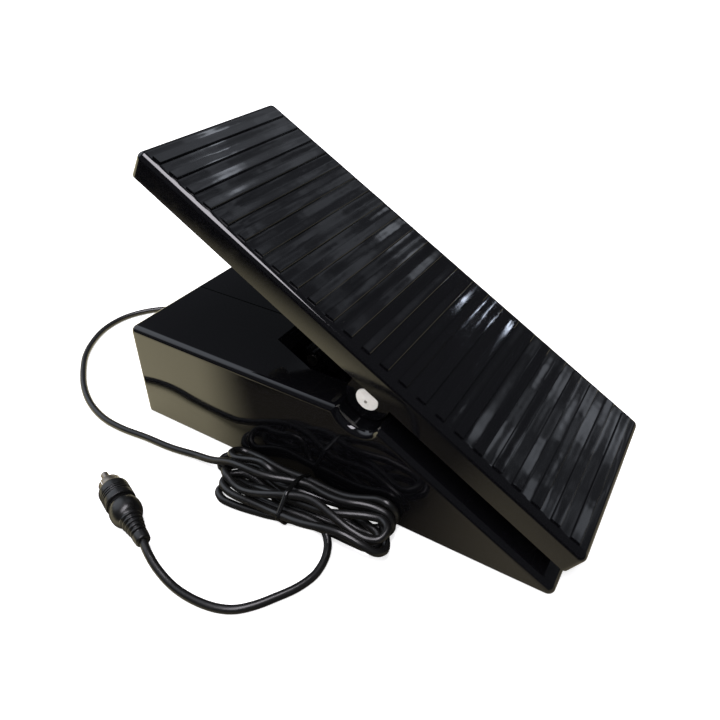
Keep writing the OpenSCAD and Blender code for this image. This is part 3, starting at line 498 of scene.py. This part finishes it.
zincSheet = platedMetal("zincPlatedSheet", {
    "colours": ("#b9bcc1", "#8f949b"), "roughness": (0.28, 0.42), "grain": (1, 0.05, 1), "lineSize": 0.5 * mm,
    "lineDepth": 0.002 * mm, "cloudSize": 6 * mm,
})
zincScrew = platedMetal("zincPlatedScrew", {
    "colours": ("#c3c5c8", "#9a9da3"), "roughness": (0.22, 0.36), "grain": (1, 1, 1), "lineSize": 0.6 * mm,
    "lineDepth": 0.003 * mm, "cloudSize": 2 * mm,
})
canMetal = platedMetal("tinnedPotCan", {
    "colours": ("#bdbbb4", "#96948d"), "roughness": (0.3, 0.45), "grain": (0.1, 1, 1), "lineSize": 0.4 * mm,
    "lineDepth": 0.003 * mm, "cloudSize": 4 * mm,
})
nickelPlate = platedMetal("nickelPlate", {
    "colours": ("#a59d93", "#837b72"), "roughness": (0.32, 0.42), "grain": (1, 1, 1), "lineSize": 0.35 * mm,
    "lineDepth": 0.0004 * mm, "cloudSize": 2 * mm,
})


def laminate(name, s):
    # Phenolic paper laminate, punched from sheet: brown with faint fibres and dull cut edges
    material, tree, shader, place = newMaterial(name, {"IOR": 1.6})
    layers = addNode(
        tree, "ShaderNodeTexWave", {"Scale": 1 / s["layer"], "Distortion": 3.0, "Detail": 3.0},
        {"Vector": place})
    colour = addNode(tree, "ShaderNodeMix", mixed(*s["colours"]), {0: layers.outputs["Fac"]}, data_type="RGBA")
    gloss = addNode(tree, "ShaderNodeMapRange", span("To", s["roughness"]), {"Value": layers.outputs["Fac"]})
    linkShader(tree, shader, gloss, colour=colour)
    return material


wafer = laminate("phenolicPaperLaminate", {
    "colours": ("#6b4322", "#543117"), "roughness": (0.35, 0.5), "layer": 1.2 * mm,
})


def setMaterial(piece, material):
    piece.data.materials.clear()
    piece.data.materials.append(material)


def dress(piece, material, slot, body, *nodes):
    # A piece's finish, its body, and the CAD nodes it stands for
    setMaterial(piece, material)
    if nodes:
        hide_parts(*nodes)
    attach(piece, body)


dress(cordRun, cordPvc, "pvc_black", "base", "cord_lead", "cord_hank", "cord_tail")
cornerNames = ["toe_left", "toe_right", "heel_left", "heel_right"]
nodeFinish = [
    (zincSheet, ["bottom_plate", "pot_bracket", "pot_nut", "pot_tabs"]),
    (zincScrew, ["base_screws", "bracket_screws", "sector_screws"]),
    (footRubber, [kind + "_" + corner for kind in ("foot", "bumper") for corner in cornerNames]),
    (gearAcetal, ["gear_sector", "pinion"]),
    (canMetal, ["pot_body", "pot_shaft"]),
    (wafer, ["pot_wafer"]),
    (plugPvc, ["cord_gland"]),
]
for material, names in nodeFinish:
    for name in names:
        setMaterial(frame["nodes"][name], material)
print("materials made")


def finished(piece):
    # A piece's corner places and triangles as finished, as whole arrays
    evaluated = piece.evaluated_get(bpy.context.evaluated_depsgraph_get())
    mesh = evaluated.to_mesh()
    mesh.calc_loop_triangles()
    points = np.empty(len(mesh.vertices) * 3)
    mesh.vertices.foreach_get("co", points)
    corners = np.empty(len(mesh.loop_triangles) * 3, np.int32)
    mesh.loop_triangles.foreach_get("vertices", corners)
    evaluated.to_mesh_clear()
    return points.reshape(-1, 3), corners.reshape(-1, 3)


def surfaceOf(pieces):
    parts = [finished(piece) for piece in pieces]
    starts = np.cumsum([0] + [len(points) for points, corners in parts])
    corners = [part[1] + start for part, start in zip(parts, starts)]
    return BVHTree.FromPolygons(
        np.concatenate([part[0] for part in parts]).tolist(), np.concatenate(corners).tolist())


doubleGap = 0.001 * mm


def meshPiece(name, points, faces, sharp=35):
    # A mesh from whole arrays, with doubles merged, faces turned outwards and edges smooth up to an angle
    mesh = bpy.data.meshes.new(name)
    mesh.from_pydata(
        np.asarray(points, float), [], faces if isinstance(faces, list) else np.asarray(faces, int).tolist())
    piece = bpy.data.objects.new(name, mesh)
    scene.collection.objects.link(piece)
    tidyMesh(mesh, sharp)
    return piece


def tidyMesh(mesh, angle):
    work = bmesh.new()
    work.from_mesh(mesh)
    bmesh.ops.remove_doubles(work, verts=work.verts, dist=doubleGap)
    bmesh.ops.recalc_face_normals(work, faces=work.faces)
    for face in work.faces:
        face.smooth = True
    for edge in work.edges:
        edge.smooth = len(edge.link_faces) == 2 and edge.calc_face_angle(0) < math.radians(angle)
    work.to_mesh(mesh)
    work.free()
    mesh.update()


def finerCopy(node, name, body, slot, material, angle=24):
    # A merged copy of a CAD node, so that its edge rounds shade smoothly against its flats
    piece = frame["nodes"][node].copy()
    piece.data = frame["nodes"][node].data.copy()
    piece.name = piece.data.name = name
    piece.parent = None
    for key in list(piece.keys()):
        del piece[key]
    scene.collection.objects.link(piece)
    tidyMesh(piece.data, angle)
    shade = piece.modifiers.new("flatsFirst", "WEIGHTED_NORMAL")
    shade.keep_sharp = True
    shade.weight = 100
    dress(piece, material, slot, body, node)
    return piece


baseLeft = finerCopy("base_half_left", "baseShellLeft", "base", "abs_black", baseAbs)
baseRight = finerCopy("base_half_right", "baseShellRight", "base", "abs_black", baseAbs)
treadle = finerCopy("treadle", "treadleBody", "treadle", "abs_black", treadleAbs)
shellSettings = {"mouldSide": 20.4 * mm, "under": -0.5, "lift": 0.3 * mm, "reach": 120 * mm}


def dullInsideAndShadeRecesses(pieces, s, plate=False):
    # A face that looks at its own moulding takes the core-side finish, and so does the underside of the plate.
    # This is partly the dull inside of the shell and partly painted shade on recessed faces that the moulding
    # shades
    bpy.context.view_layer.update()
    tree = surfaceOf(pieces)
    for piece in pieces:
        piece.data.materials.append(coreAndShadeAbs)
        for face in piece.data.polygons:
            height = (face.center - Vector(pivot)).dot(Vector(treadleUp))
            under = face.normal.dot(Vector(treadleUp)) < s["under"]
            if plate and height > s["mouldSide"] and not under:
                continue
            seen = tree.ray_cast(face.center + face.normal * s["lift"], face.normal, s["reach"])[0]
            # Painted shade: faces that look at the moulding lose their mirror
            face.material_index = 1 if seen or (plate and under) else 0


dullInsideAndShadeRecesses([treadle], shellSettings, True)
dullInsideAndShadeRecesses([baseLeft, baseRight], shellSettings)
print("mouldings made")


def gridFaces(rows, columns, wrap):
    # Quads between neighbouring rows and columns of a grid, the last column joined to the first
    row = np.arange(rows - 1)[:, None] * columns
    here = np.arange(columns if wrap else columns - 1)[None]
    there = (here + 1) % columns
    return np.stack([row + here, row + there, row + columns + there, row + columns + here], -1).reshape(-1, 4)


mostShare = 0.45


def roundProfile(corners, radius, steps=4):
    # Each corner of the outline becomes a quadratic arc between two points a radius away along its
    # sides, or a share of a short side
    corners = np.asarray(corners, float)
    before, here, after = corners[:-2], corners[1:-1], corners[2:]
    start, end = (
        here + (to - here) * np.minimum(mostShare, radius / np.linalg.norm(to - here, axis=1))[:, None]
        for to in (before, after))
    start, end = start[:, None], end[:, None]
    t = np.linspace(0, 1, steps)[None, :, None]
    arc = (1 - t) ** 2 * start + 2 * t * (1 - t) * here[:, None] + t ** 2 * end
    return np.concatenate([corners[:1], arc.reshape(-1, 2), corners[-1:]])


def revolve(name, profile, sides, place, axis, sharp=35):
    # An outline turned round an axis: place + axis * length + radius * (cos, sin) in its two cross axes
    axis = np.array(Vector(axis).normalized())
    side = np.array(Vector(axis).cross(Vector((0, 0, 1))).normalized())
    up = np.cross(side, axis)
    turn = np.linspace(0, 2 * np.pi, sides, endpoint=False)
    ring = np.cos(turn)[:, None] * side + np.sin(turn)[:, None] * up
    points = np.array(place) + profile[:, None, :1] * axis + profile[:, None, 1:] * ring[None]
    return meshPiece(name, points.reshape(-1, 3), gridFaces(len(profile), sides, True), sharp)


# Plug, in millimetres: ringed boot, grooved body, a metal shell in four leaves, insulating disc and pin
plugSettings = {
    "place": (-102.8 * mm, 43.6 * mm, 6.32 * mm), "direction": tuple(Vector((16.2, 42.1, 0)).normalized()),
    "sides": 72, "start": -1.0, "sleeveRadius": 2.85, "sleeveLength": 3.0, "sleeveRound": 0.4,
    "rings": 5, "ringPitch": 1.95, "ringRadius": (3.15, 4.5), "ringDepth": 0.85, "ringRise": (0.65, 0.9),
    "ringGap": 0.2, "ringRound": 0.22, "wideAt": 17.6, "wideRadius": 6.3, "wideReach": 5,
    "wideTurn": (-60, 50, 23), "neckRadius": 5.2, "neckDrop": 1.4, "neckRound": (0.15, 0.3), "bootLength": 22.8,
    "bodyRadius": 6.1, "bodyLength": 10.9, "bodyRound": 0.35, "shoulder": 2.3,
    "grooves": (3.2, 4.4, 5.6), "grooveDepth": 0.4, "grooveEdges": (0, 0.12, 0.48, 0.6), "grooveRound": 0.12,
    "shellRadius": 4.45, "shellWall": 0.4, "shellFrom": 32.6, "shellTo": 36.9, "shellRound": 0.2,
    "leaves": 4, "leafSteps": 20, "leafTurn": np.pi / 4, "slotWidth": 0.5,
    "pinRadius": 1.55, "pinNose": 0.9, "tip": 43.5,
    "discGap": 0.45, "discEnds": (0.1, 1.5, 1.7), "discRim": 0.7,
}


def quarterRound(length, radius, size, steps):
    # Points on a quarter circle that ends at the length and lies inside the radius
    turn = np.radians(np.linspace(0, 90, steps))
    return [(length - size + size * math.sin(a), radius - size + size * math.cos(a)) for a in turn]


def makeBoot(s):
    ringRadius = np.linspace(*s["ringRadius"], s["rings"])
    start = s["sleeveLength"] + np.arange(s["rings"]) * s["ringPitch"]
    low, (foot, top) = ringRadius - s["ringDepth"], s["ringRise"]
    rings = [
        (start, low), (start + foot, low), (start + top, ringRadius),
        (start + s["ringPitch"] - s["ringGap"], ringRadius)]
    rings = np.stack([np.stack(corner, 1) for corner in rings], 1).reshape(-1, 2)
    turn = np.radians(np.linspace(*s["wideTurn"]))
    middle = s["neckRadius"] - s["neckDrop"]
    bulge = np.stack(
        [s["wideAt"] + s["wideReach"] * np.sin(turn), middle + (s["wideRadius"] - middle) * np.cos(turn)], 1)
    first, r, e = s["start"], s["sleeveRadius"], s["sleeveRound"]
    sleeve = [
        (first, 0), (first, r - e), (first + e, r), (s["sleeveLength"] - s["ringGap"], s["ringRadius"][0])]
    last, r, (back, e) = s["bootLength"], s["neckRadius"], s["neckRound"]
    outline = np.concatenate([
        roundProfile(np.concatenate([sleeve, rings, bulge[:1]]), s["ringRound"]), bulge[1:],
        [(last - back, r), (last, r - e), (last, 0)]])
    return revolve("plugBootMoulding", outline * mm, s["sides"], s["place"], s["direction"])


def makeBody(s):
    r, e, last = s["bodyRadius"], s["bodyRound"], s["bodyLength"]
    depths = (0, s["grooveDepth"], s["grooveDepth"], 0)
    cuts = [(g + d, r - cut) for g in s["grooves"] for d, cut in zip(s["grooveEdges"], depths)]
    nose = quarterRound(last, r, s["shoulder"], 10)
    outline = np.concatenate([
        roundProfile([(0, 0), (0, r - e), (e, r), *cuts, nose[0]], s["grooveRound"]), nose[1:], [(last, 0)]])
    place = Vector(s["place"]) + Vector(s["direction"]) * s["bootLength"] * mm
    return revolve("plugBodyMoulding", outline * mm, s["sides"], place, s["direction"])


def makeShell(s):
    # Sprung leaves round the pin: a rectangle with softened corners swept between two slots for each
    axis = np.array(s["direction"])
    side = np.cross(axis, (0, 0, 1))
    back, front, e, steps = s["shellFrom"], s["shellTo"], s["shellRound"], s["leafSteps"]
    outer, inner = s["shellRadius"], s["shellRadius"] - s["shellWall"]
    loop = np.array([
        (back, inner), (back, outer), (front - e, outer), (front, outer - 0.75 * e), (front, inner + e / 4),
        (front - e / 2, inner)])
    slot = s["slotWidth"] / outer / 2
    share = 2 * np.pi / s["leaves"]
    turn = np.linspace(slot, share - slot, steps) + np.arange(s["leaves"])[:, None] * share + s["leafTurn"]
    ring = np.cos(turn)[..., None] * side + np.sin(turn)[..., None] * np.array([0, 0, 1])
    points = np.array(s["place"]) + mm * (loop[:, :1] * axis + loop[None, None, :, 1:] * ring[:, :, None])
    size = len(loop)
    faces = []
    for start in range(0, s["leaves"] * steps * size, steps * size):
        faces += (gridFaces(steps, size, True) + start).tolist()
        faces += [
            list(range(start, start + size)), list(range(start + (steps - 1) * size, start + steps * size))]
    return meshPiece("plugShellLeaves", points.reshape(-1, 3), faces, 40)


def makeTip(s):
    r, start = s["pinRadius"], s["shellFrom"]
    outline = [(start, 0), (start, r), *quarterRound(s["tip"], r, s["pinNose"], 8), (s["tip"], 0)]
    pin = revolve("plugCentrePin", np.array(outline) * mm, 40, s["place"], s["direction"])
    back, edge, front = (start + end for end in s["discEnds"])
    rim = s["shellRadius"] - s["discGap"]
    disc = [
        (back, r), (back, rim), (edge, rim), (front, s["shellRadius"] - s["discRim"]), (front, r), (back, r)]
    return pin, revolve("plugInsulatorDisc", np.array(disc) * mm, 48, s["place"], s["direction"])


plugBoot, plugBody = makeBoot(plugSettings), makeBody(plugSettings)
plugShell = makeShell(plugSettings)
plugPin, plugDisc = makeTip(plugSettings)
for piece, node, slot, material in (
        (plugShell, "plug_shell", "nickel", nickelPlate), (plugPin, "plug_pin", "nickel", nickelPlate),
        (plugDisc, "plug_insulator", "insulator", insulatorBlack),
        (plugBoot, "plug_boot", "pvc_black", plugPvc), (plugBody, "plug_body", "pvc_black", plugPvc)):
    dress(piece, material, slot, "base", node)

# Twist tie: a ribbon drawn tight round the strands at the hank's waist
tieSettings = {
    "x": -56 * mm, "y": 5.9 * mm, "lean": math.radians(5), "width": 2.0 * mm, "thickness": 0.8 * mm,
    "edge": 0.16 * mm, "steps": 160, "crownSteps": 11, "near": 14 * mm, "directions": 720, "slack": 0.03 * mm,
    "lift": 0.02 * mm,
}


def makeTie(s):
    # A crowned ribbon round the convex hull of the strands that a slanted plane cuts
    across = np.array([math.cos(s["lean"]), math.sin(s["lean"]), 0])
    along = np.array([-math.sin(s["lean"]), math.cos(s["lean"]), 0])
    centre = np.array([s["x"], s["y"], 0])
    gap = (cordLine - centre) @ along
    near = np.abs((cordLine - centre) @ across) < s["near"]
    hit = np.nonzero((gap[:-1] * gap[1:] <= 0) & near[1:])[0]
    share = (gap[hit] / (gap[hit] - gap[hit + 1]))[:, None]
    strand = cordLine[hit] + share * (cordLine[hit + 1] - cordLine[hit])
    flat = np.stack([(strand - centre) @ across, strand[:, 2]], 1)
    turn = np.linspace(0, 2 * np.pi, s["directions"], endpoint=False)
    out = np.stack([np.cos(turn), np.sin(turn)], 1)
    reach = cordSettings["diameter"] / 2 + s["thickness"] / 2 + s["slack"]
    hull = flat[np.argmax(out @ flat.T, axis=1)] + reach * out
    hull[:, 1] = np.maximum(hull[:, 1], s["thickness"] / 2 + s["lift"])
    ends = np.concatenate([hull, hull[:1]])
    run = np.concatenate([[0], np.cumsum(np.linalg.norm(np.diff(ends, axis=0), axis=1))])
    even = np.linspace(0, run[-1], s["steps"], endpoint=False)
    path = np.stack([np.interp(even, run, ends[:, k]) for k in range(2)], 1)
    tangent = np.roll(path, -1, 0) - np.roll(path, 1, 0)
    tangent /= np.linalg.norm(tangent, axis=1)[:, None]
    normal = np.stack([tangent[:, 1], -tangent[:, 0]], 1)
    w, t, e = s["width"] / 2, s["thickness"] / 2, s["edge"]
    arch = np.radians(np.linspace(0, 180, s["crownSteps"]))
    crown = np.stack([w * np.cos(arch), (2 * t - e) * np.sin(arch) - t + e], 1)
    ring = np.concatenate([[(-w + e, -t), (w - e, -t)], crown])
    flatPoint = path[:, None] + ring[None, :, 1:] * normal[:, None]
    points = centre + flatPoint @ np.array([across, (0, 0, 1)]) + ring[None, :, :1] * along
    faces = gridFaces(s["steps"] + 1, len(ring), True) % (s["steps"] * len(ring))
    return meshPiece("twistTie", points.reshape(-1, 3), faces, 50)


twistTie = makeTie(tieSettings)
dress(twistTie, tiePvc, "pvc_black", "base", "hank_tie")
print("plug and tie made")

# Nylon pivot pins: round-edged ends, slightly dished, with the mark of the mould's gate
pinSettings = {
    "inner": 19.5, "headLength": 1.5, "headRadius": 7.5, "radius": 5.0, "reach": 35.5, "edge": 0.5,
    "dish": (0.9, 1.2, 0.12),
}


def makePin(name, side, s):
    inner, outer, r = s["inner"], s["reach"], s["radius"]
    collar = inner + s["headLength"]
    rim, flat, depth = s["dish"]
    outline = [(inner, 0), (inner, s["headRadius"]), (collar, s["headRadius"]), (collar, r),
               (outer, r), (outer, r - rim), (outer - depth, r - flat), (outer - depth, 0)]
    return revolve(name, roundProfile(outline, s["edge"], 5) * mm, 64, pivot, (side, 0, 0), 40)


pins = []
for side, name, node in ((-1, "pivotPinLeft", "pivot_pin_left"), (1, "pivotPinRight", "pivot_pin_right")):
    pin = makePin(name, side, pinSettings)
    pins.append(pin)
    dress(pin, pinNylon, "nylon_white", "base", node)
gateSettings = {"radius": 0.75, "height": 0.3, "root": 0.2, "dish": 0.1, "taper": 0.8, "edge": 0.12}


def makeGate(s):
    # The sheared stub that the mould's gate leaves on the pin's end
    bpy.context.view_layer.update()
    place = placeOn(surfaceOf(pins[:1]), *imagePoints["pin gate mark"])[0]
    r, top = s["radius"], s["height"]
    outline = roundProfile(
        [(-s["root"], 0), (-s["root"], r), (top, r * s["taper"]), (top - s["dish"], 0)], s["edge"], 4)
    return revolve("pinGateMark", outline * mm, 28, place, (-1, 0, 0), 50), place


gateMark, gatePlace = makeGate(gateSettings)
dress(gateMark, gateNylon, "nylon_white", "base")
print("pins made")

# Floor, white to the camera; to whatever it is mirrored in, a painted reflection of a warm pale table with
# painted shade and a painted shadow
floorSettings = {
    "size": 5.0, "level": -0.05 * mm,
    "white": "#ffffff", "warm": "#ede4bd", "shaded": "#8c8570", "beyond": "#0b0b0c",
    "cameraGlow": 0.6, "mirrorGlow": 0.5, "edge": (1.0, 0.37, 0.0), "edgeSpan": (-0.128, -0.088),
    "shade": (-1.5, 1.0, 0.0), "shadeSpan": (0.0, 0.17), "shadow": "#3f3b31", "shadowEdge": (1.18, 1.0, 0.0),
    "shadowSide": (0.018, -0.024), "shadowHeel": (-0.085, -0.035), "shadowReach": (-0.118, -0.101),
}


def makeFloor(s):
    # Mirrored, it is a painted reflection: a table that ends in the dark, with painted dimming on one side and
    # a painted shadow near the base
    corners = [(x * s["size"], y * s["size"], s["level"]) for x, y in ((-1, -1), (1, -1), (1, 1), (-1, 1))]
    piece = meshPiece("floor", corners, [(0, 1, 2, 3)])
    material = bpy.data.materials.new("paleTable")
    material.use_nodes = True
    tree = material.node_tree
    tree.nodes.clear()
    path = addNode(tree, "ShaderNodeLightPath")
    seen = addNode(
        tree, "ShaderNodeMath", {}, {0: path.outputs["Is Glossy Ray"], 1: path.outputs["Is Transmission Ray"]},
        operation="MAXIMUM")
    place = addNode(tree, "ShaderNodeTexCoord").outputs["Object"]
    along = addNode(tree, "ShaderNodeVectorMath", {1: s["edge"]}, {0: place}, operation="DOT_PRODUCT")
    near = addNode(
        tree, "ShaderNodeMapRange", span("From", s["edgeSpan"]), {"Value": along.outputs["Value"]}, **softEdge)
    across = addNode(tree, "ShaderNodeVectorMath", {1: s["shade"]}, {0: place}, operation="DOT_PRODUCT")
    lit = addNode(
        tree, "ShaderNodeMapRange", span("From", s["shadeSpan"]), {"Value": across.outputs["Value"]},
        **softEdge)
    # Painted dimming: the mirrored table fades to its shaded colour on one side
    warm = addNode(tree, "ShaderNodeMix", mixed(s["shaded"], s["warm"]), {0: lit.outputs[0]}, data_type="RGBA")
    axes = addNode(tree, "ShaderNodeSeparateXYZ", {}, {0: place})
    slant = addNode(tree, "ShaderNodeVectorMath", {1: s["shadowEdge"]}, {0: place}, operation="DOT_PRODUCT")
    covered = addNode(tree, "ShaderNodeValue")
    covered.outputs[0].default_value = 1.0
    for source, key in (
            (slant.outputs["Value"], "shadowSide"), (axes.outputs["Y"], "shadowHeel"),
            (axes.outputs["X"], "shadowReach")):
        edge = addNode(tree, "ShaderNodeMapRange", span("From", s[key]), {"Value": source}, **softEdge)
        covered = addNode(
            tree, "ShaderNodeMath", {}, {0: covered.outputs[0], 1: edge.outputs[0]}, operation="MULTIPLY")
    # Painted shadow: near the base the mirrored table takes the shadow colour
    shade = addNode(
        tree, "ShaderNodeMix", {7: linear(s["shadow"])}, {0: covered.outputs[0], 6: warm.outputs[2]},
        data_type="RGBA")
    # Painted reflection: beyond its edge the mirrored table is dark
    table = addNode(
        tree, "ShaderNodeMix", {6: linear(s["beyond"])}, {0: near.outputs[0], 7: shade.outputs[2]},
        data_type="RGBA")
    colour = addNode(
        tree, "ShaderNodeMix", {6: linear(s["white"])}, {0: seen.outputs[0], 7: table.outputs[2]},
        data_type="RGBA")
    cameraGlow = addNode(
        tree, "ShaderNodeMath", {1: s["cameraGlow"]}, {0: path.outputs["Is Camera Ray"]}, operation="MULTIPLY")
    glow = addNode(
        tree, "ShaderNodeMath", {1: s["mirrorGlow"]}, {0: seen.outputs[0], 2: cameraGlow.outputs[0]},
        operation="MULTIPLY_ADD")
    diffuse = addNode(tree, "ShaderNodeBsdfDiffuse", {}, {"Color": colour.outputs[2]})
    light = addNode(tree, "ShaderNodeEmission", {}, {"Color": colour.outputs[2], "Strength": glow.outputs[0]})
    both = addNode(tree, "ShaderNodeAddShader", {}, {0: diffuse.outputs[0], 1: light.outputs[0]})
    addNode(tree, "ShaderNodeOutputMaterial", {}, {0: both.outputs[0]})
    setMaterial(piece, material)


makeFloor(floorSettings)


def makeWorld(s):
    # White to the camera, an even soft light on the object, and in its mirrors a dim room with the
    # soft glow of windows, each one fading from its middle to its rim and broken by blinds and leaves
    world = bpy.data.worlds.new("studio")
    scene.world = world
    world.use_nodes = True
    tree = world.node_tree
    tree.nodes.clear()
    path = addNode(tree, "ShaderNodeLightPath")
    way = addNode(tree, "ShaderNodeTexCoord").outputs["Generated"]
    broken = addNode(tree, "ShaderNodeTexNoise", {"Scale": s["patchScale"], "Detail": 2.0}, {"Vector": way})
    patch = addNode(
        tree, "ShaderNodeMapRange", {**span("From", s["patchSpan"]), **span("To", s["patch"])},
        {"Value": broken.outputs[0]}, **softEdge)
    glow = addNode(tree, "ShaderNodeValue")
    glow.outputs[0].default_value = s["mirrored"]
    for direction, inner, outer, strength, patchy in s["sheens"]:
        facing = addNode(
            tree, "ShaderNodeVectorMath", {1: Vector(direction).normalized()}, {0: way},
            operation="DOT_PRODUCT")
        sheen = addNode(
            tree, "ShaderNodeMapRange",
            {**span("From", np.cos(np.radians((outer, inner))).tolist()), "To Max": strength},
            {"Value": facing.outputs["Value"]}, **softEdge)
        if patchy:
            sheen = addNode(
                tree, "ShaderNodeMath", {}, {0: sheen.outputs[0], 1: patch.outputs[0]}, operation="MULTIPLY")
        glow = addNode(tree, "ShaderNodeMath", {}, {0: sheen.outputs[0], 1: glow.outputs[0]})
    strength = addNode(
        tree, "ShaderNodeMix", {2: s["ambient"]}, {0: path.outputs["Is Glossy Ray"], 3: glow.outputs[0]})
    shown = addNode(tree, "ShaderNodeMix", {3: 1.0}, {0: path.outputs["Is Camera Ray"], 2: strength.outputs[0]})
    colour = addNode(
        tree, "ShaderNodeMix", mixed("#ffffff", s["room"]), {0: path.outputs["Is Glossy Ray"]},
        data_type="RGBA")
    back = addNode(tree, "ShaderNodeBackground", {}, {0: colour.outputs[2], 1: shown.outputs[0]})
    addNode(tree, "ShaderNodeOutputWorld", {}, {0: back.outputs[0]})


# Each sheen: direction, the angles in degrees where it is full and gone, strength, and whether it is patchy
makeWorld({
    "ambient": 0.62, "mirrored": 0.08, "room": "#e9f0fc",
    "patchScale": 22.0, "patchSpan": (0.46, 0.66), "patch": (0.5, 3.0),
    "sheens": [
        ((0.64, 0.25, 0.72), 2, 18, 0.52, False), ((0.72, -0.06, 0.69), 2, 15, 0.16, True),
        ((0.757, -0.56, 0.34), 2, 13, 0.2, True), ((-0.1, 0.8, 0.6), 18, 37, 1.3, False),
        ((0.675, 0.05, 0.736), 0.5, 1.4, 3.2, False), ((0.79, -0.19, 0.585), 0.5, 1.6, 1.6, False),
        ((0.705, -0.50, 0.50), 1.0, 2.0, 1.1, False), ((0.765, -0.53, 0.37), 1.0, 2.2, 1.1, False),
        ((0.675, -0.59, 0.445), 0.8, 1.8, 0.9, False), ((0.785, -0.47, 0.41), 0.8, 1.8, 1.0, False),
    ],
})


def makeLamp(name, s):
    data = bpy.data.lights.new(name, "AREA")
    data.shape = "RECTANGLE"
    data.size, data.size_y = s["size"]
    data.energy = s["power"]
    data.color = linear(s["colour"])[:3]
    lamp = bpy.data.objects.new(name, data)
    scene.collection.objects.link(lamp)
    direction = Vector(s["direction"]).normalized()
    lamp.location = Vector(s["aim"]) + direction * s["distance"]
    lamp.rotation_mode = "QUATERNION"
    lamp.rotation_quaternion = direction.to_track_quat("Z", "Y")
    lamp.visible_camera = False


lamps = {
    "windowPane": {
        "direction": (0.798, -0.331, 0.504), "aim": (0.0252, -0.0391, 0.0643), "distance": 1.6,
        "size": (0.018, 0.045), "power": 0.06, "colour": "#dfeaff"},
    "keyAbove": {
        "direction": (-0.24, -0.05, 0.96), "aim": (0, 0, 0.05), "distance": 1.6, "size": (0.55, 1.5),
        "power": 26.0, "colour": "#fbf7ff"},
}
for name, settings in lamps.items():
    makeLamp(name, settings)
scene.view_settings.view_transform = "Standard"
print("stage made")

bpy.context.view_layer.update()
mouldings = [baseLeft, baseRight, treadle]
mouldTree = surfaceOf(mouldings)
# Where the image points lie on the pedal: along the plate, up from it and across, all from the pivot
markSettings = {
    "tries": 4000, "slack": 0.6 * mm, "heelRun": -85 * mm, "heelSide": -30 * mm, "heelRise": 16 * mm,
    "troughRadius": 10.2 * mm, "troughBand": 0.3 * mm, "troughSide": -40 * mm, "opening": (-17.6, 41.207, 49.3),
    "ribSide": -37.7 * mm, "ribRise": 22.7 * mm, "firstRun": 120.6 * mm, "lastRun": -84.3 * mm,
}


def showing(points, order):
    # The pixel of the first point in this order that nothing of the mouldings hides from the camera
    for index in order[:markSettings["tries"]]:
        away = Vector(points[index]) - cameraPlace
        hit = mouldTree.ray_cast(cameraPlace, away.normalized())
        if hit[0] is None or hit[3] > away.length - markSettings["slack"]:
            return imageSpot(points[index])[0]
    return imageSpot(points[order[0]])[0]


def writePoints(s):
    topPoints = finished(treadle)[0]
    basePoints = np.concatenate([finished(baseLeft)[0], finished(baseRight)[0]])
    everything = np.concatenate([basePoints, topPoints])
    onPlate = (topPoints - np.array(pivot)) @ np.array([treadleAxis, treadleUp]).T
    heelEnd = (onPlate[:, 0] < s["heelRun"]) & (onPlate[:, 1] > s["heelRise"])
    heelNear = topPoints[heelEnd & (topPoints[:, 0] < s["heelSide"])]
    fromPivot = np.linalg.norm((basePoints - np.array(pivot))[:, 1:], axis=1)
    onTrough = np.abs(fromPivot - s["troughRadius"]) < s["troughBand"]
    trough = basePoints[onTrough & (basePoints[:, 0] < s["troughSide"])]

    def nearest(points, frame, place):
        return imageSpot(points[np.argmin(np.linalg.norm(frame - np.array(place), axis=1))])[0]

    def outermost(points, x, y):
        return showing(points, np.argsort(imageSpot(points) @ np.array([-x, -y], float)))

    def alongPlug(length):
        return imageSpot(Vector(plugSettings["place"]) + Vector(plugSettings["direction"]) * length * mm)[0]

    ribFrame = np.concatenate([topPoints[:, :1], onPlate], 1)
    shown = {
        "treadle left x": outermost(everything, -1, 0),
        "treadle right x": outermost(everything, 1, 0),
        "treadle top y": outermost(everything, 0, -1),
        "base bottom y": outermost(everything, 0, 1),
        "treadle toe corner near": outermost(topPoints, -0.55, -0.83),
        "treadle toe corner far": outermost(topPoints, 0.25, -0.97),
        "treadle heel corner far": outermost(topPoints, 0.98, -0.2),
        "treadle heel corner near": outermost(heelNear, 0.6, 0.8),
        "base toe corner top": outermost(basePoints, -0.9, -0.44),
        "base toe corner bottom": outermost(basePoints, -0.75, 0.66),
        "base heel corner": outermost(basePoints, 0.1, 0.99),
        "trough bottom": outermost(trough, 0, 1),
        "pin gate mark": imageSpot(gatePlace)[0],
        "opening corner": nearest(basePoints, basePoints, np.array(s["opening"]) * mm),
        "first rib end": nearest(topPoints, ribFrame, (s["ribSide"], s["firstRun"], s["ribRise"])),
        "last rib end": nearest(topPoints, ribFrame, (s["ribSide"], s["lastRun"], s["ribRise"])),
        "plug tip": alongPlug(plugSettings["tip"]),
        "boot widest": alongPlug(plugSettings["wideAt"]),
    }
    for name, spot in shown.items():
        pairs = zip(spot, imagePoints[name])
        [None if mark is None else round(float(at - mark), 1) for at, mark in pairs]


writePoints(markSettings)
